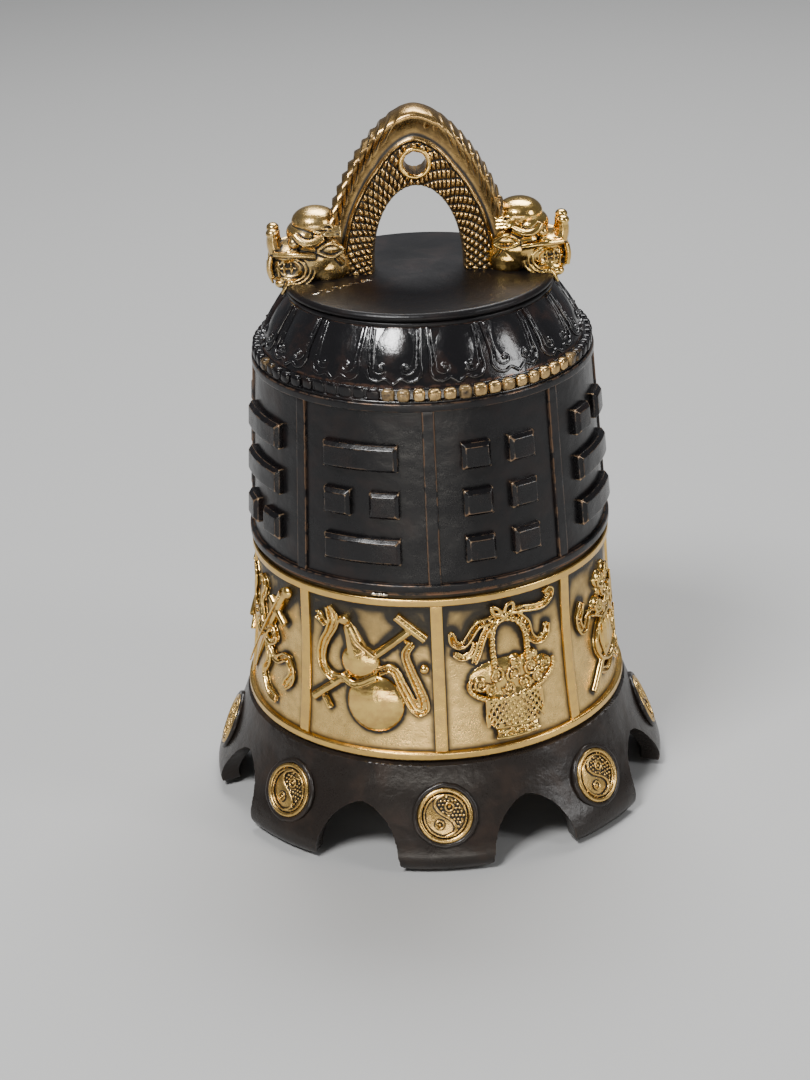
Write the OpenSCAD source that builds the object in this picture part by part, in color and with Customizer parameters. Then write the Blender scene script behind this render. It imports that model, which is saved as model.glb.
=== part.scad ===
// Eight-trigram bell with a double-dragon handle.
// Sections are cast separately and soldered together; the clapper swings on a wire staple.
// Frame: origin on the axis at the level of the feet, +Z up, handle arch in the XZ plane.

/* [Bell body] */
// Height of the crown plate's edge above the feet
crown_z = 112.9; // [108:0.1:119]
// Radius of the crown plate
crown_r = 27.4; // [25:0.1:29]
// Rise of the crown plate from its edge to its middle
crown_dome = 1; // [0.4:0.1:2]
// Thickness of the cast wall
wall = 3; // [2.4:0.1:3.6]
// Radius of the shoulder at its lower edge
shoulder_foot_r = 33.1; // [32:0.1:34]
// Radius of the drum's wall at its upper edge
drum_top_r = 34.4; // [33.8:0.1:35.2]
// Radius of the drum's wall at its lower edge
drum_foot_r = 37.2; // [36.5:0.1:38]
// Radius of the gold band's wall at its lower edge
band_foot_r = 39.8; // [39:0.1:40.2]
// Greatest radius of the skirt
skirt_r = 49; // [47:0.1:51]
// Number of panels, ribs and feet
panels = 8; // [8:1:8]

/* [Relief] */
// Number of lotus petals round the shoulder
petals = 16; // [8:8:24]
// Number of beads in the bead course
beads = 71; // [60:1:90]
// Height of a rib above its panel
rib_rise = 0.6; // [0.3:0.1:1]
// Angle that a rib covers
rib_angle = 4; // [3:0.5:6]
// Height of a trigram bar above its panel
bar_rise = 1.7; // [1:0.1:2.2]
// Height of a trigram bar along the axis
bar_h = 5.4; // [4:0.2:6.4]
// Angle that a whole trigram bar covers
bar_angle = 25; // [20:0.5:30]
// Angle of the gap in a broken trigram bar
bar_gap = 6; // [4:0.5:9]
// Height of an emblem above its panel
emblem_rise = 1.3; // [0.6:0.1:1.8]
// Radius of a foot medallion
medal_r = 5.7; // [5:0.1:6]

/* [Handle] */
// Height of the handle's top above the feet
handle_top_z = 147.2; // [144:0.1:152]
// Thickness of the scaled web
web_t = 6.4; // [5:0.2:8]
// Thickness of the ridge along the outside of the arch
ridge_t = 8.4; // [7:0.2:10]
// Radius of the hanging hole
hole_r = 2.3; // [1.6:0.1:2.6]
// Half width of the opening under the arch
loop_half = 8.9; // [8:0.1:9.6]

/* [Clapper] */
// Radius of the staple's wire and of the clapper's eye wire
wire_r = 1.2; // [1:0.1:1.4]
// Clearance between the staple and the eye
eye_gap = 0.35; // [0.25:0.05:0.6]
// Radius of the clapper ball
ball_r = 10; // [8:0.5:11]
// Height of the ball's centre above the feet
ball_z = 21.2; // [19:0.1:37]

/* [Hidden] */

$fn = 96;
panel_step = 360 / panels;

// levels where the sections meet
plate_z = crown_z - 2.7;
bead_top_z = 100.1;
bead_foot_z = 97.4;
drum_foot_z = 57.6;
band_foot_z = 21.9;
flare_z = 3.5;
rim_h = 1.7;
rib_sunk = 1;

// handle measures
arch_foot_half = 20.5;
arch_foot_z = crown_z - 0.2;
arch_lean = 1.6;
arch_fullness = 0.58;
ridge_w = 3;
channel_w = 3.4;
loop_top_z = handle_top_z - 16.1;
loop_bend_z = crown_z + 2.3;
hole_z = handle_top_z - 11.1;
head_x = 19;

// clapper measures
staple_z = crown_z - 10.6;
staple_half = 5;
staple_bend = 2.6;
eye_ring_r = 2 * wire_r + eye_gap;

function mix(a, b, t) = a + (b - a) * t;
function drum_r(z) = mix(drum_foot_r, drum_top_r, (z - drum_foot_z) / (bead_foot_z - drum_foot_z));
function band_r(z) =
    let (t = (drum_foot_z - z) / (drum_foot_z - band_foot_z))
    drum_foot_r - 0.3 + (band_foot_r - drum_foot_r + 0.3) * t * t;
function shoulder_r(z) =
    let (t = (plate_z - z) / (plate_z - bead_top_z))
    crown_r - 0.2 + (shoulder_foot_r - crown_r + 0.2) * (1.35 * t - 0.35 * t * t);
function skirt_out(z) =
    let (t = (band_foot_z - 1 - z) / (band_foot_z - 1 - flare_z))
    band_foot_r + 1.3 + (skirt_r - band_foot_r - 1.3) * t;

// points from z0 to z1 on an outline
function outline(z0, z1, steps, kind, off) = [
    for (i = [0:steps])
        let (z = mix(z0, z1, i / steps))
        [(kind == "band" ? band_r(z) : shoulder_r(z)) + off, z]
];

// ring of rectangular section between two radii and two levels
module ring(r_in, r_out, z0, z1) {
    rotate_extrude()
        polygon([[r_in, z0], [r_out, z0], [r_out, z1], [r_in, z1]]);
}

// turns children, built on the -Y side, to the given angle counter-clockwise from above
module face_at(angle) {
    rotate([0, 0, angle]) children();
}

// arc of a revolved outline, centred on the -Y side
module arc_band(span) {
    rotate([0, 0, -90 - span / 2])
        rotate_extrude(angle = span) children();
}

// ---- crown, shoulder and beads ----

module crown_plate() {
    color([0.10, 0.09, 0.09]) rotate_extrude() {
        polygon([
            [0, plate_z], [crown_r - 0.3, plate_z], [crown_r - 0.3, plate_z + 0.7],
            [crown_r - 0.9, plate_z + 1], [crown_r, plate_z + 1.4], [crown_r, crown_z - 0.6],
            [crown_r - 0.7, crown_z], [crown_r * 0.6, crown_z + crown_dome * 0.6],
            [crown_r * 0.3, crown_z + crown_dome * 0.9], [0, crown_z + crown_dome]
        ]);
    }
}

module shoulder_ring() {
    color([0.09, 0.07, 0.07]) rotate_extrude()
        polygon(concat(
            outline(bead_top_z, plate_z, 8, "shoulder", 0),
            outline(plate_z, bead_top_z, 8, "shoulder", -wall)
        ));
}

// flat shape of one petal: a rounded tongue, point down, 10 high
module petal_shape() {
    petal_w = 10.6;
    petal_h = 9.6;
    difference() {
        union() {
            translate([0, petal_h / 2 + 1.9]) square([petal_w, petal_h - 3.8], center = true);
            for (side = [-1, 1])
                translate([side * (petal_w / 2 - 2.9), 3.6]) circle(r = 2.9);
            translate([0, 1.9]) circle(r = 1.9);
            translate([0, 4.5]) square([petal_w - 5, 4], center = true);
        }
        translate([0, 6.6]) circle(r = 1.6);
    }
}

module lotus_petals() {
    petal_rise = 0.5;
    color([0.12, 0.08, 0.07])
        for (i = [0:petals - 1])
            face_at((i + 0.5) * 360 / petals)
                intersection() {
                    arc_band(360 / petals - 1)
                        polygon(concat(
                            outline(bead_top_z + 0.4, plate_z - 0.4, 6, "shoulder", 0),
                            outline(plate_z - 0.4, bead_top_z + 0.4, 6, "shoulder", petal_rise)
                        ));
                    translate([0, 0, bead_top_z + 0.3])
                        rotate([90, 0, 0])
                            linear_extrude(height = 50) petal_shape();
                }
}

module bead_course() {
    bead_r = 1.25;
    bead_rise = 0.9;
    ring_out = drum_top_r - 0.6;
    bead_z = (bead_top_z + bead_foot_z) / 2;
    color([0.35, 0.27, 0.16]) {
        ring(drum_top_r - wall, ring_out, bead_foot_z, bead_top_z);
        for (i = [0:beads - 1])
            rotate([0, 0, i * 360 / beads])
                translate([0, 1 - ring_out, bead_z])
                    rotate([90, 0, 0])
                        cylinder(r1 = bead_r, r2 = bead_r - 0.4, h = 1 + bead_rise, $fn = 24);
    }
}

// ---- trigram drum ----

// outline of the drum between two levels, from one offset of its wall to another
module drum_outline(z0, z1, off_in, off_out) {
    polygon([
        [drum_r(z0) + off_in, z0], [drum_r(z0) + off_out, z0],
        [drum_r(z1) + off_out, z1], [drum_r(z1) + off_in, z1]
    ]);
}

module trigram_drum() {
    rim_out = rib_rise + 0.2;
    color([0.11, 0.10, 0.10]) {
        rotate_extrude() drum_outline(drum_foot_z, bead_foot_z, -wall, 0);
        for (i = [0:panels - 1])
            face_at(i * panel_step)
                arc_band(rib_angle)
                    drum_outline(drum_foot_z + rim_h, bead_foot_z - rim_h / 2, -rib_sunk, rib_rise);
        ring(drum_top_r - rib_sunk, drum_top_r + rim_out, bead_foot_z - rim_h, bead_foot_z);
        ring(drum_foot_r - rib_sunk, drum_foot_r + rim_out, drum_foot_z + 0.8, drum_foot_z + 0.8 + rim_h);
    }
}

// bevelled bar on the drum wall, centred on the -Y side at height z
module bar(z, span) {
    bevel = 0.7;
    z_low = z - bar_h / 2;
    z_high = z + bar_h / 2;
    arc_band(span)
        polygon([
            [drum_r(z_low), z_low], [drum_r(z_low) + bar_rise - bevel, z_low],
            [drum_r(z) + bar_rise, z_low + bevel], [drum_r(z) + bar_rise, z_high - bevel],
            [drum_r(z_high) + bar_rise - bevel, z_high], [drum_r(z_high), z_high]
        ]);
}

// three lines, top first; 1 is a whole bar and 0 a broken one
module trigram(place, lines) {
    bar_pitch = 9.65;
    top_bar_z = bead_foot_z - 11.1;
    half_span = (bar_angle - bar_gap) / 2;
    color([0.16, 0.12, 0.08])
        face_at((place + 0.5) * panel_step)
            for (i = [0:2]) {
                z = top_bar_z - i * bar_pitch;
                if (lines[i] == 1)
                    bar(z, bar_angle);
                else
                    for (side = [-1, 1])
                        face_at(side * (half_span + bar_gap) / 2) bar(z, half_span);
            }
}

// places count counter-clockwise from above, from the front rib
module trigram_earth() { trigram(0, [0, 0, 0]); }
module trigram_lake() { trigram(1, [0, 1, 1]); }
module trigram_heaven() { trigram(2, [1, 1, 1]); }
module trigram_water() { trigram(3, [0, 1, 0]); }
module trigram_mountain() { trigram(4, [1, 0, 0]); }
module trigram_thunder() { trigram(5, [0, 0, 1]); }
module trigram_wind() { trigram(6, [1, 1, 0]); }
module trigram_fire() { trigram(7, [1, 0, 1]); }

// ---- emblem band ----

module emblem_band() {
    rim_top = drum_foot_z - 0.7;
    rib_top = rim_top - rim_h / 2;
    color([0.78, 0.60, 0.28]) {
        rotate_extrude()
            polygon(concat(
                outline(band_foot_z, drum_foot_z, 8, "band", 0),
                outline(drum_foot_z, band_foot_z, 8, "band", -wall)
            ));
        for (i = [0:panels - 1])
            face_at(i * panel_step) arc_band(rib_angle)
                polygon(concat(
                    outline(band_foot_z + rim_h / 2, rib_top, 8, "band", rib_rise),
                    outline(rib_top, band_foot_z + rim_h / 2, 8, "band", -rib_sunk)
                ));
        ring(drum_foot_r - 2, drum_foot_r + 0.6, rim_top - rim_h, rim_top);
        ring(band_foot_r - 2, band_foot_r + 0.9, band_foot_z, band_foot_z + rim_h);
    }
}

// lays a flat shape on the band wall; the shape's middle is the panel's middle
module emblem(place) {
    margin = 0.5;
    low = band_foot_z + rim_h + margin;
    high = drum_foot_z - rim_h - 0.7 - margin;
    color([0.85, 0.66, 0.32])
        face_at((place + 0.5) * panel_step)
            intersection() {
                arc_band(panel_step - rib_angle - 1)
                    polygon(concat(
                        outline(low, high, 8, "band", 0),
                        outline(high, low, 8, "band", emblem_rise)
                    ));
                translate([0, 0, (low + high) / 2])
                    rotate([90, 0, 0])
                        linear_extrude(height = 50) children();
            }
}

// straight stroke between two points
module stroke(a, b, w) {
    d = b - a;
    translate(a)
        rotate([0, 0, atan2(d[1], d[0])])
            translate([0, -w / 2]) square([norm(d), w]);
}

// wavy ribbon that starts at a point and heads at an angle
module ribbon(start, heading, length, w) {
    steps = 8;
    sway = 1.5;
    function along(t) = [t * length, sway * sin(t * 400)];
    translate(start)
        rotate([0, 0, heading])
            polygon(concat(
                [for (i = [0:steps]) along(i / steps) + [0, w / 2]],
                [for (i = [steps:-1:0]) along(i / steps) - [0, w / 2]]
            ));
}

module emblem_basket() {
    emblem(0) {
        difference() {
            translate([0, 3]) circle(r = 6.2);
            translate([0, 3]) circle(r = 4.4);
        }
        translate([0, -1]) square([17, 5.4], center = true);
        for (i = [-2:2]) translate([i * 4, 0.2]) circle(r = 2.9);
        polygon([[-6, -3.4], [6, -3.4], [4.4, -9.4], [-4.4, -9.4]]);
        translate([0, -11]) square([8.6, 2.4], center = true);
        ribbon([1, 9.4], 15, 9, 2.2);
        ribbon([-1, 9.4], 165, 9, 2.2);
        translate([0, 9.8]) circle(r = 2);
    }
}

module emblem_fan() {
    emblem(1) {
        translate([1, 3]) circle(r = 7.6);
        translate([-2.6, -1.6]) circle(r = 5.2);
        stroke([-2, -3], [-8, -12], 2);
        ribbon([-4, -7], -10, 12, 2);
        ribbon([-4, -7], 120, 8, 2);
    }
}

module emblem_lotus() {
    emblem(2) {
        for (a = [30, 60, 90, 120, 150])
            rotate([0, 0, a]) translate([5.6, 0]) circle(r = 3);
        circle(r = 5);
        stroke([0, -4], [1.5, -12.4], 2);
        ribbon([1, -7], -20, 10, 2.2);
        ribbon([1, -8], 195, 10, 2.2);
    }
}

module emblem_flute() {
    emblem(3) {
        stroke([-10, -9], [9, 11], 3);
        ribbon([-2, 0], 20, 12, 2.2);
        ribbon([2, 2], 190, 12, 2.2);
        ribbon([-6, -5], -20, 12, 2);
    }
}

module emblem_clappers() {
    emblem(4) {
        stroke([-6, -9.5], [-1.4, 9], 4.6);
        stroke([6, -9.5], [1.4, 9], 4.6);
        translate([0, 9.6]) circle(r = 2.4);
        ribbon([1, 9], -10, 10, 2);
        ribbon([-1, 9], 190, 10, 2);
    }
}

module emblem_fish_drum() {
    emblem(5) {
        stroke([-6, -9], [5, 8], 5.6);
        stroke([-8, 6], [9, -4], 1.8);
        stroke([-6, 9], [8, -7.5], 1.8);
        ribbon([5, 8], 0, 8, 2);
        ribbon([-6, -7], 0, 14, 2);
    }
}

module emblem_sword() {
    emblem(6) {
        stroke([-4, -12.4], [2, 6], 3);
        stroke([-1.6, 7.2], [5.4, 4.8], 1.8);
        stroke([2, 6], [3.6, 11], 2);
        translate([3.8, 11.4]) circle(r = 1.5);
        ribbon([2, 3], -20, 9, 2.2);
        ribbon([0, 3], 200, 9, 2.2);
        ribbon([-1, -5], -10, 10, 2.2);
    }
}

module emblem_gourd() {
    emblem(7) {
        translate([1.5, -5.6]) circle(r = 5.6);
        translate([-0.4, 3.2]) circle(r = 3.7);
        translate([0.4, -0.6]) square([3.6, 3], center = true);
        stroke([-0.6, 5], [-2, 11], 2);
        translate([-2, 11.2]) circle(r = 1.3);
        stroke([-11.4, -6.6], [10, 8], 1.9);
        stroke([8, 11], [12, 4.6], 2.2);
        ribbon([2, 1.6], -40, 12, 2.4);
        ribbon([-2, 5], 165, 9, 2.4);
    }
}

// ---- skirt and medallions ----

// arch of one notch, open below
module notch_shape() {
    half = 9.3;
    spring_z = 1.5;
    rise = 11.8;
    taper = 1.3;
    toe = 3.6;
    steps = 24;
    polygon(concat(
        [[half + toe, -1], [half + toe, 0], [half + toe * 0.6, 0.4], [half + toe * 0.28, 0.9]],
        [for (i = [0:steps])
            let (c = cos(i * 180 / steps))
            [half * sign(c) * pow(abs(c), taper), spring_z + rise * sin(i * 180 / steps)]],
        [[-half - toe * 0.28, 0.9], [-half - toe * 0.6, 0.4], [-half - toe, 0], [-half - toe, -1]]
    ));
}

module skirt() {
    top_z = band_foot_z;
    color([0.13, 0.09, 0.07]) difference() {
        rotate_extrude()
            polygon([
                [band_foot_r - wall, top_z], [band_foot_r - 0.2, top_z], [band_foot_r - 0.2, top_z - 0.5],
                [skirt_out(top_z - 1), top_z - 1], [skirt_out(12.2) - 0.3, 12.2],
                [skirt_r - 0.4, 5], [skirt_r, flare_z], [skirt_r - 0.2, 1.9], [skirt_r - 0.9, 0.7],
                [skirt_r - 2.2, 0], [skirt_r - 4.6, 0],
                [skirt_r - 4.3, 2], [skirt_r - 4.2, flare_z], [skirt_out(12.2) - 4.2, 12.2],
                [skirt_out(top_z - 1) - 4, top_z - 2]
            ]);
        for (i = [0:panels - 1])
            face_at((i + 0.5) * panel_step)
                rotate([90, 0, 0]) linear_extrude(height = 60) notch_shape();
    }
}

// a tilted disc with a collar on each foot
module medallions() {
    tilt = atan2(skirt_r - band_foot_r - 1.3, band_foot_z - 1 - flare_z);
    medal_z = 11.6;
    medal_t = 1;
    collar_w = 0.9;
    color([0.80, 0.62, 0.30])
        for (i = [0:panels - 1])
            face_at(i * panel_step)
                translate([0, -skirt_out(medal_z) - 0.2, medal_z])
                    rotate([90 - tilt, 0, 0]) {
                        cylinder(r = medal_r, h = medal_t);
                        difference() {
                            cylinder(r = medal_r + collar_w, h = medal_t * 0.7);
                            translate([0, 0, -1]) cylinder(r = medal_r - 0.1, h = medal_t + 2);
                        }
                    }
}

// ---- handle ----

// outer edge of the arch, moved inwards by off: a tall curve, fuller than a parabola
module arch_outer(off) {
    steps = 32;
    half = arch_foot_half - off;
    rise = handle_top_z - off - arch_foot_z;
    function edge(a) = [
        half * pow(max(0, 1 - pow(sin(a), arch_lean)), arch_fullness),
        arch_foot_z + rise * sin(a)
    ];
    polygon(concat(
        [for (i = [0:steps]) edge(i * 90 / steps)],
        [for (i = [steps - 1:-1:0]) let (p = edge(i * 90 / steps)) [-p[0], p[1]]]
    ));
}

module arch_loop() {
    steps = 24;
    polygon(concat(
        [[-loop_half, arch_foot_z - 1], [loop_half, arch_foot_z - 1]],
        [for (i = [0:steps])
            [loop_half * cos(i * 180 / steps),
             loop_bend_z + (loop_top_z - loop_bend_z) * sin(i * 180 / steps)]]
    ));
}

module upright(t) {
    translate([0, t / 2, 0]) rotate([90, 0, 0]) linear_extrude(height = t) children();
}

module handle_arch() {
    channel_t = web_t - 1;
    sink_d = 0.7;
    color([0.74, 0.56, 0.25]) difference() {
        union() {
            upright(ridge_t) difference() {
                arch_outer(0);
                arch_outer(ridge_w);
            }
            upright(channel_t) arch_outer(ridge_w - 0.5);
            upright(web_t) arch_outer(ridge_w + channel_w);
        }
        upright(ridge_t + 4) arch_loop();
        for (side = [-1, 1])
            translate([0, side * (web_t / 2 - sink_d), hole_z])
                rotate([-90 * side, 0, 0]) cylinder(r = hole_r + 0.7, h = 10);
        translate([0, ridge_t, hole_z])
            rotate([90, 0, 0]) cylinder(r = hole_r, h = 2 * ridge_t);
        // the legs stop on the domed crown plate
        rotate_extrude()
            polygon([
                [0, 0], [crown_r + 3, 0], [crown_r + 3, crown_z], [crown_r - 0.7, crown_z],
                [crown_r * 0.6, crown_z + crown_dome * 0.6],
                [crown_r * 0.3, crown_z + crown_dome * 0.9], [0, crown_z + crown_dome]
            ]);
    }
}

// rounded lump of the head, at a height above the crown plate
module lump(x, y, h, r) {
    translate([x, y, crown_z + h]) sphere(r = r, $fn = 28);
}

// dragon's head that faces +X
module dragon_head() {
    difference() {
        union() {
            // skull and neck
            hull()
                for (side = [-1, 1]) {
                    lump(head_x + 1.6, side * 2, 4.1, 4.6);
                    lump(head_x + 3.2, side * 2, 7.7, 4.2);
                    lump(head_x + 6.4, side * 1.6, 5.9, 3.8);
                }
            // top-knot
            hull() {
                lump(head_x + 1, 0, 11.3, 3.4);
                lump(head_x + 4.6, 0, 10.9, 3);
            }
            // upper jaw with the turned-up nose
            hull()
                for (side = [-1, 1]) {
                    lump(head_x + 5, side * 1.6, 6.1, 3.4);
                    lump(head_x + 10, side * 2, 5.9, 1.9);
                }
            hull() {
                lump(head_x + 9.8, 0, 6.9, 2);
                lump(head_x + 10.8, 0, 10.1, 1.2);
            }
            // lower jaw and beard
            hull() {
                lump(head_x + 3, 0, 1.7, 2.6);
                lump(head_x + 9.4, 0, 1.3, 1.8);
            }
            for (side = [-1, 1]) {
                lump(head_x + 1.6, side * 5.8, 8.3, 1.8);
                lump(head_x + 5.6, side * 4, 8.9, 1.5);
            }
        }
        translate([-60, -30, 60]) cube([60 + head_x - 1, 60, 80]);
        // the head rests on the crown plate
        rotate_extrude()
            polygon([
                [0, 0], [crown_r + 8, 0], [crown_r + 8, crown_z], [crown_r - 0.7, crown_z],
                [crown_r * 0.6, crown_z + crown_dome * 0.6],
                [crown_r * 0.3, crown_z + crown_dome * 0.9], [0, crown_z + crown_dome]
            ]);
        // the arch's leg
        upright(ridge_t + 0.02) arch_outer(-0.01);
    }
}

module dragon_right() {
    color([0.86, 0.67, 0.33]) dragon_head();
}

module dragon_left() {
    color([0.86, 0.67, 0.33]) mirror([1, 0, 0]) dragon_head();
}

// ---- clapper ----

module clapper_staple() {
    leg_top = plate_z;
    color([0.45, 0.38, 0.28]) {
        translate([staple_bend - staple_half, 0, staple_z])
            rotate([0, 90, 0]) cylinder(r = wire_r, h = 2 * (staple_half - staple_bend), $fn = 32);
        for (side = [0, 1])
            mirror([side, 0, 0]) {
                translate([staple_half - staple_bend, 0, staple_z + staple_bend])
                    rotate([90, 0, 0])
                        rotate([0, 0, -90])
                            rotate_extrude(angle = 90)
                                translate([staple_bend, 0]) circle(r = wire_r, $fn = 32);
                translate([staple_half, 0, staple_z + staple_bend])
                    cylinder(r = wire_r, h = leg_top - staple_z - staple_bend, $fn = 32);
            }
    }
}

module clapper_rod() {
    rod_r = 1.5;
    head_r = 2.6;
    head_h = 1.2;
    ball_foot_z = ball_z - ball_r + 0.6;
    color([0.50, 0.40, 0.24]) {
        translate([0, 0, staple_z])
            rotate([0, 90, 0])
                rotate_extrude() translate([eye_ring_r, 0]) circle(r = wire_r, $fn = 32);
        translate([0, 0, ball_foot_z])
            cylinder(r = rod_r, h = staple_z - eye_ring_r - ball_foot_z, $fn = 32);
        translate([0, 0, ball_foot_z - head_h])
            cylinder(r = head_r, h = head_h, $fn = 32);
    }
}

module clapper_ball() {
    bore_r = 1.56;
    color([0.62, 0.47, 0.24]) difference() {
        translate([0, 0, ball_z]) sphere(r = ball_r);
        translate([0, 0, ball_z - 2 * ball_r]) cylinder(r = bore_r, h = 4 * ball_r, $fn = 32);
        translate([0, 0, ball_z - 2 * ball_r + 0.6]) cylinder(r = ball_r, h = ball_r, $fn = 48);
    }
}

crown_plate();
shoulder_ring();
lotus_petals();
bead_course();
trigram_drum();
trigram_wind();
trigram_fire();
trigram_earth();
trigram_lake();
trigram_heaven();
trigram_water();
trigram_mountain();
trigram_thunder();
emblem_band();
emblem_sword();
emblem_gourd();
emblem_basket();
emblem_fan();
emblem_lotus();
emblem_flute();
emblem_clappers();
emblem_fish_drum();
skirt();
medallions();
handle_arch();
dragon_left();
dragon_right();
clapper_staple();
clapper_rod();
clapper_ball();
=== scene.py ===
import math
import random

import bpy
import numpy as np
from mathutils import Matrix, Vector, kdtree


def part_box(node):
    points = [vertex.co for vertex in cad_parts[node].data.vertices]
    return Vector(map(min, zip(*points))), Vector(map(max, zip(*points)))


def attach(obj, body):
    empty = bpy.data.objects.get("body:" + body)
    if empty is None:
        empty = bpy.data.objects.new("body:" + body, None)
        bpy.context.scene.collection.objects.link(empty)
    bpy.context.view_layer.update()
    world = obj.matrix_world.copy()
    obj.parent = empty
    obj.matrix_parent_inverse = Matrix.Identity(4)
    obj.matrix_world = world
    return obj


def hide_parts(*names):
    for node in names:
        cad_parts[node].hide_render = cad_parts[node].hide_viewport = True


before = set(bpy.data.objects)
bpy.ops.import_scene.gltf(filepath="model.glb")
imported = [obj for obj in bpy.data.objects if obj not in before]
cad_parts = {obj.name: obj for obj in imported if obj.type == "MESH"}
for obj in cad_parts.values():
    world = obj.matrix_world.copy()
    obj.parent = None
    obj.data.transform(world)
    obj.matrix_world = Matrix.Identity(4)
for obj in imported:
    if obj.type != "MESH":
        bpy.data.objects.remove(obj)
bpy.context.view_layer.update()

# Pieces are shaped at the bench in millimetres and brought to metres when they are finished.
mm = 0.001
benchFeet = 2.8            # height of the feet at the bench
panelCount = 8
panelStep = math.radians(360 / panelCount)


def low(node):
    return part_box(node)[0] / mm + Vector((0, 0, benchFeet))


def high(node):
    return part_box(node)[1] / mm + Vector((0, 0, benchFeet))


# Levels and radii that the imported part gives, in millimetres
level = {
    "archTop": high("handle_arch").z,
    "crown": high("crown_plate").z - 1,
    "plate": low("crown_plate").z,
    "beadTop": high("bead_course").z,
    "beadFoot": low("bead_course").z,
    "drumFoot": low("trigram_drum").z,
    "bandFoot": low("emblem_band").z,
}
radius = {
    "crown": high("crown_plate").x,
    "shoulderFoot": high("shoulder_ring").x,
    "drumTop": -low("bead_course").y - 0.3,
    "drumFoot": high("trigram_drum").x - 0.8,
    "bandFoot": high("emblem_band").x - 0.9,
    "skirt": high("skirt").x - 0.05,
}
wall = 3
wrapRadius = {"drum": 37, "band": 39}      # where flat bench pieces keep their true width


# walls of the bell, radius at a height

def drumRadius(z):
    t = (z - level["drumFoot"]) / (level["beadFoot"] - level["drumFoot"])
    return radius["drumFoot"] + (radius["drumTop"] - radius["drumFoot"]) * t


def bandRadius(z):
    t = (level["drumFoot"] - z) / (level["drumFoot"] - level["bandFoot"])
    return radius["drumFoot"] - 0.3 + (radius["bandFoot"] - radius["drumFoot"] + 0.3) * t * t


def shoulderRadius(z):
    t = (level["plate"] - z) / (level["plate"] - level["beadTop"])
    top = radius["crown"] - 0.2
    return top + (radius["shoulderFoot"] - top) * (1.35 * t - 0.35 * t * t)


def smoothCurve(points, x):
    # Catmull-Rom through points that are sorted by x
    px = np.array([p[0] for p in points], float)
    py = np.array([p[1] for p in points], float)
    slope = np.gradient(py, px)
    x = np.asarray(x, float)
    i = np.clip(np.searchsorted(px, x) - 1, 0, len(px) - 2)
    h = px[i + 1] - px[i]
    t = np.clip((x - px[i]) / h, 0, 1)
    return (
        (2 * t**3 - 3 * t**2 + 1) * py[i] + (t**3 - 2 * t**2 + t) * h * slope[i]
        + (-2 * t**3 + 3 * t**2) * py[i + 1] + (t**3 - t**2) * h * slope[i + 1]
    )


# bench helpers

def activate(piece):
    if bpy.context.object and bpy.context.object.mode != "OBJECT":
        bpy.ops.object.mode_set(mode="OBJECT")
    bpy.ops.object.select_all(action="DESELECT")
    piece.select_set(True)
    bpy.context.view_layer.objects.active = piece


def fixPlace(piece):
    activate(piece)
    bpy.ops.object.transform_apply(location=True, rotation=True, scale=True)


def editAll():
    bpy.ops.object.mode_set(mode="EDIT")
    bpy.ops.mesh.select_all(action="SELECT")


def getPoints(piece):
    flat = np.empty(len(piece.data.vertices) * 3)
    piece.data.vertices.foreach_get("co", flat)
    return flat.reshape(-1, 3)


def setPoints(piece, points):
    piece.data.vertices.foreach_set("co", np.asarray(points, float).reshape(-1))
    piece.data.update()


def useModifier(piece, kind, **settings):
    activate(piece)
    modifier = piece.modifiers.new(kind.lower(), kind)
    for key, value in settings.items():
        setattr(modifier, key, value)
    bpy.ops.object.modifier_apply(modifier=modifier.name)


def joinAll(pieces, name):
    activate(pieces[0])
    for piece in pieces:
        piece.select_set(True)
    if len(pieces) > 1:
        bpy.ops.object.join()
    joined = bpy.context.view_layer.objects.active
    joined.name = name
    joined.data.name = name
    return joined


def copyOf(piece):
    other = piece.copy()
    other.data = piece.data.copy()
    bpy.context.scene.collection.objects.link(other)
    return other


def faceOut(piece):
    activate(piece)
    editAll()
    bpy.ops.mesh.remove_doubles(threshold=0.004)
    bpy.ops.mesh.normals_make_consistent(inside=False)
    bpy.ops.object.mode_set(mode="OBJECT")


def turnedTo(points, angle):
    c, s = math.cos(angle), math.sin(angle)
    x, y, z = points.T
    return np.stack([x * c - y * s, x * s + y * c, z], 1)


def circleLine(size, count=33, x=0.0, z=0.0):
    return [(x + size * math.cos(a), z + size * math.sin(a)) for a in np.linspace(0, math.tau, count)]


def wrapOn(piece, angle, wallAt, reference):
    # bench x runs round the wall, -y stands out of it, z is the height
    p = getPoints(piece)
    a = angle + p[:, 0] / reference
    r = wallAt(p[:, 2]) - p[:, 1]
    setPoints(piece, np.stack([r * np.sin(a), -r * np.cos(a), p[:, 2]], 1))


def latheShell(name, outline, steps=288, closed=True):
    # one point is drawn out along the outline, then spun about the bell's axis
    bpy.ops.object.select_all(action="DESELECT")
    bpy.ops.mesh.primitive_plane_add(size=1)
    shell = bpy.context.object
    editAll()
    bpy.ops.mesh.merge(type="CENTER")
    bpy.ops.transform.translate(value=(outline[0][0], 0, outline[0][1]))
    stops = list(outline) + ([outline[0]] if closed else [])
    for before, after in zip(stops, stops[1:]):
        move = (after[0] - before[0], 0, after[1] - before[1])
        bpy.ops.mesh.extrude_vertices_move(TRANSFORM_OT_translate={"value": move})
    bpy.ops.mesh.select_all(action="SELECT")
    bpy.ops.mesh.remove_doubles(threshold=0.002)
    bpy.ops.mesh.select_all(action="SELECT")
    bpy.ops.mesh.spin(steps=steps, angle=math.tau, center=(0, 0, 0), axis=(0, 0, 1))
    bpy.ops.mesh.select_all(action="SELECT")
    bpy.ops.mesh.remove_doubles(threshold=0.002)
    bpy.ops.mesh.normals_make_consistent(inside=False)
    bpy.ops.object.mode_set(mode="OBJECT")
    shell.name = name
    shell.data.name = name
    return shell


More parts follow.
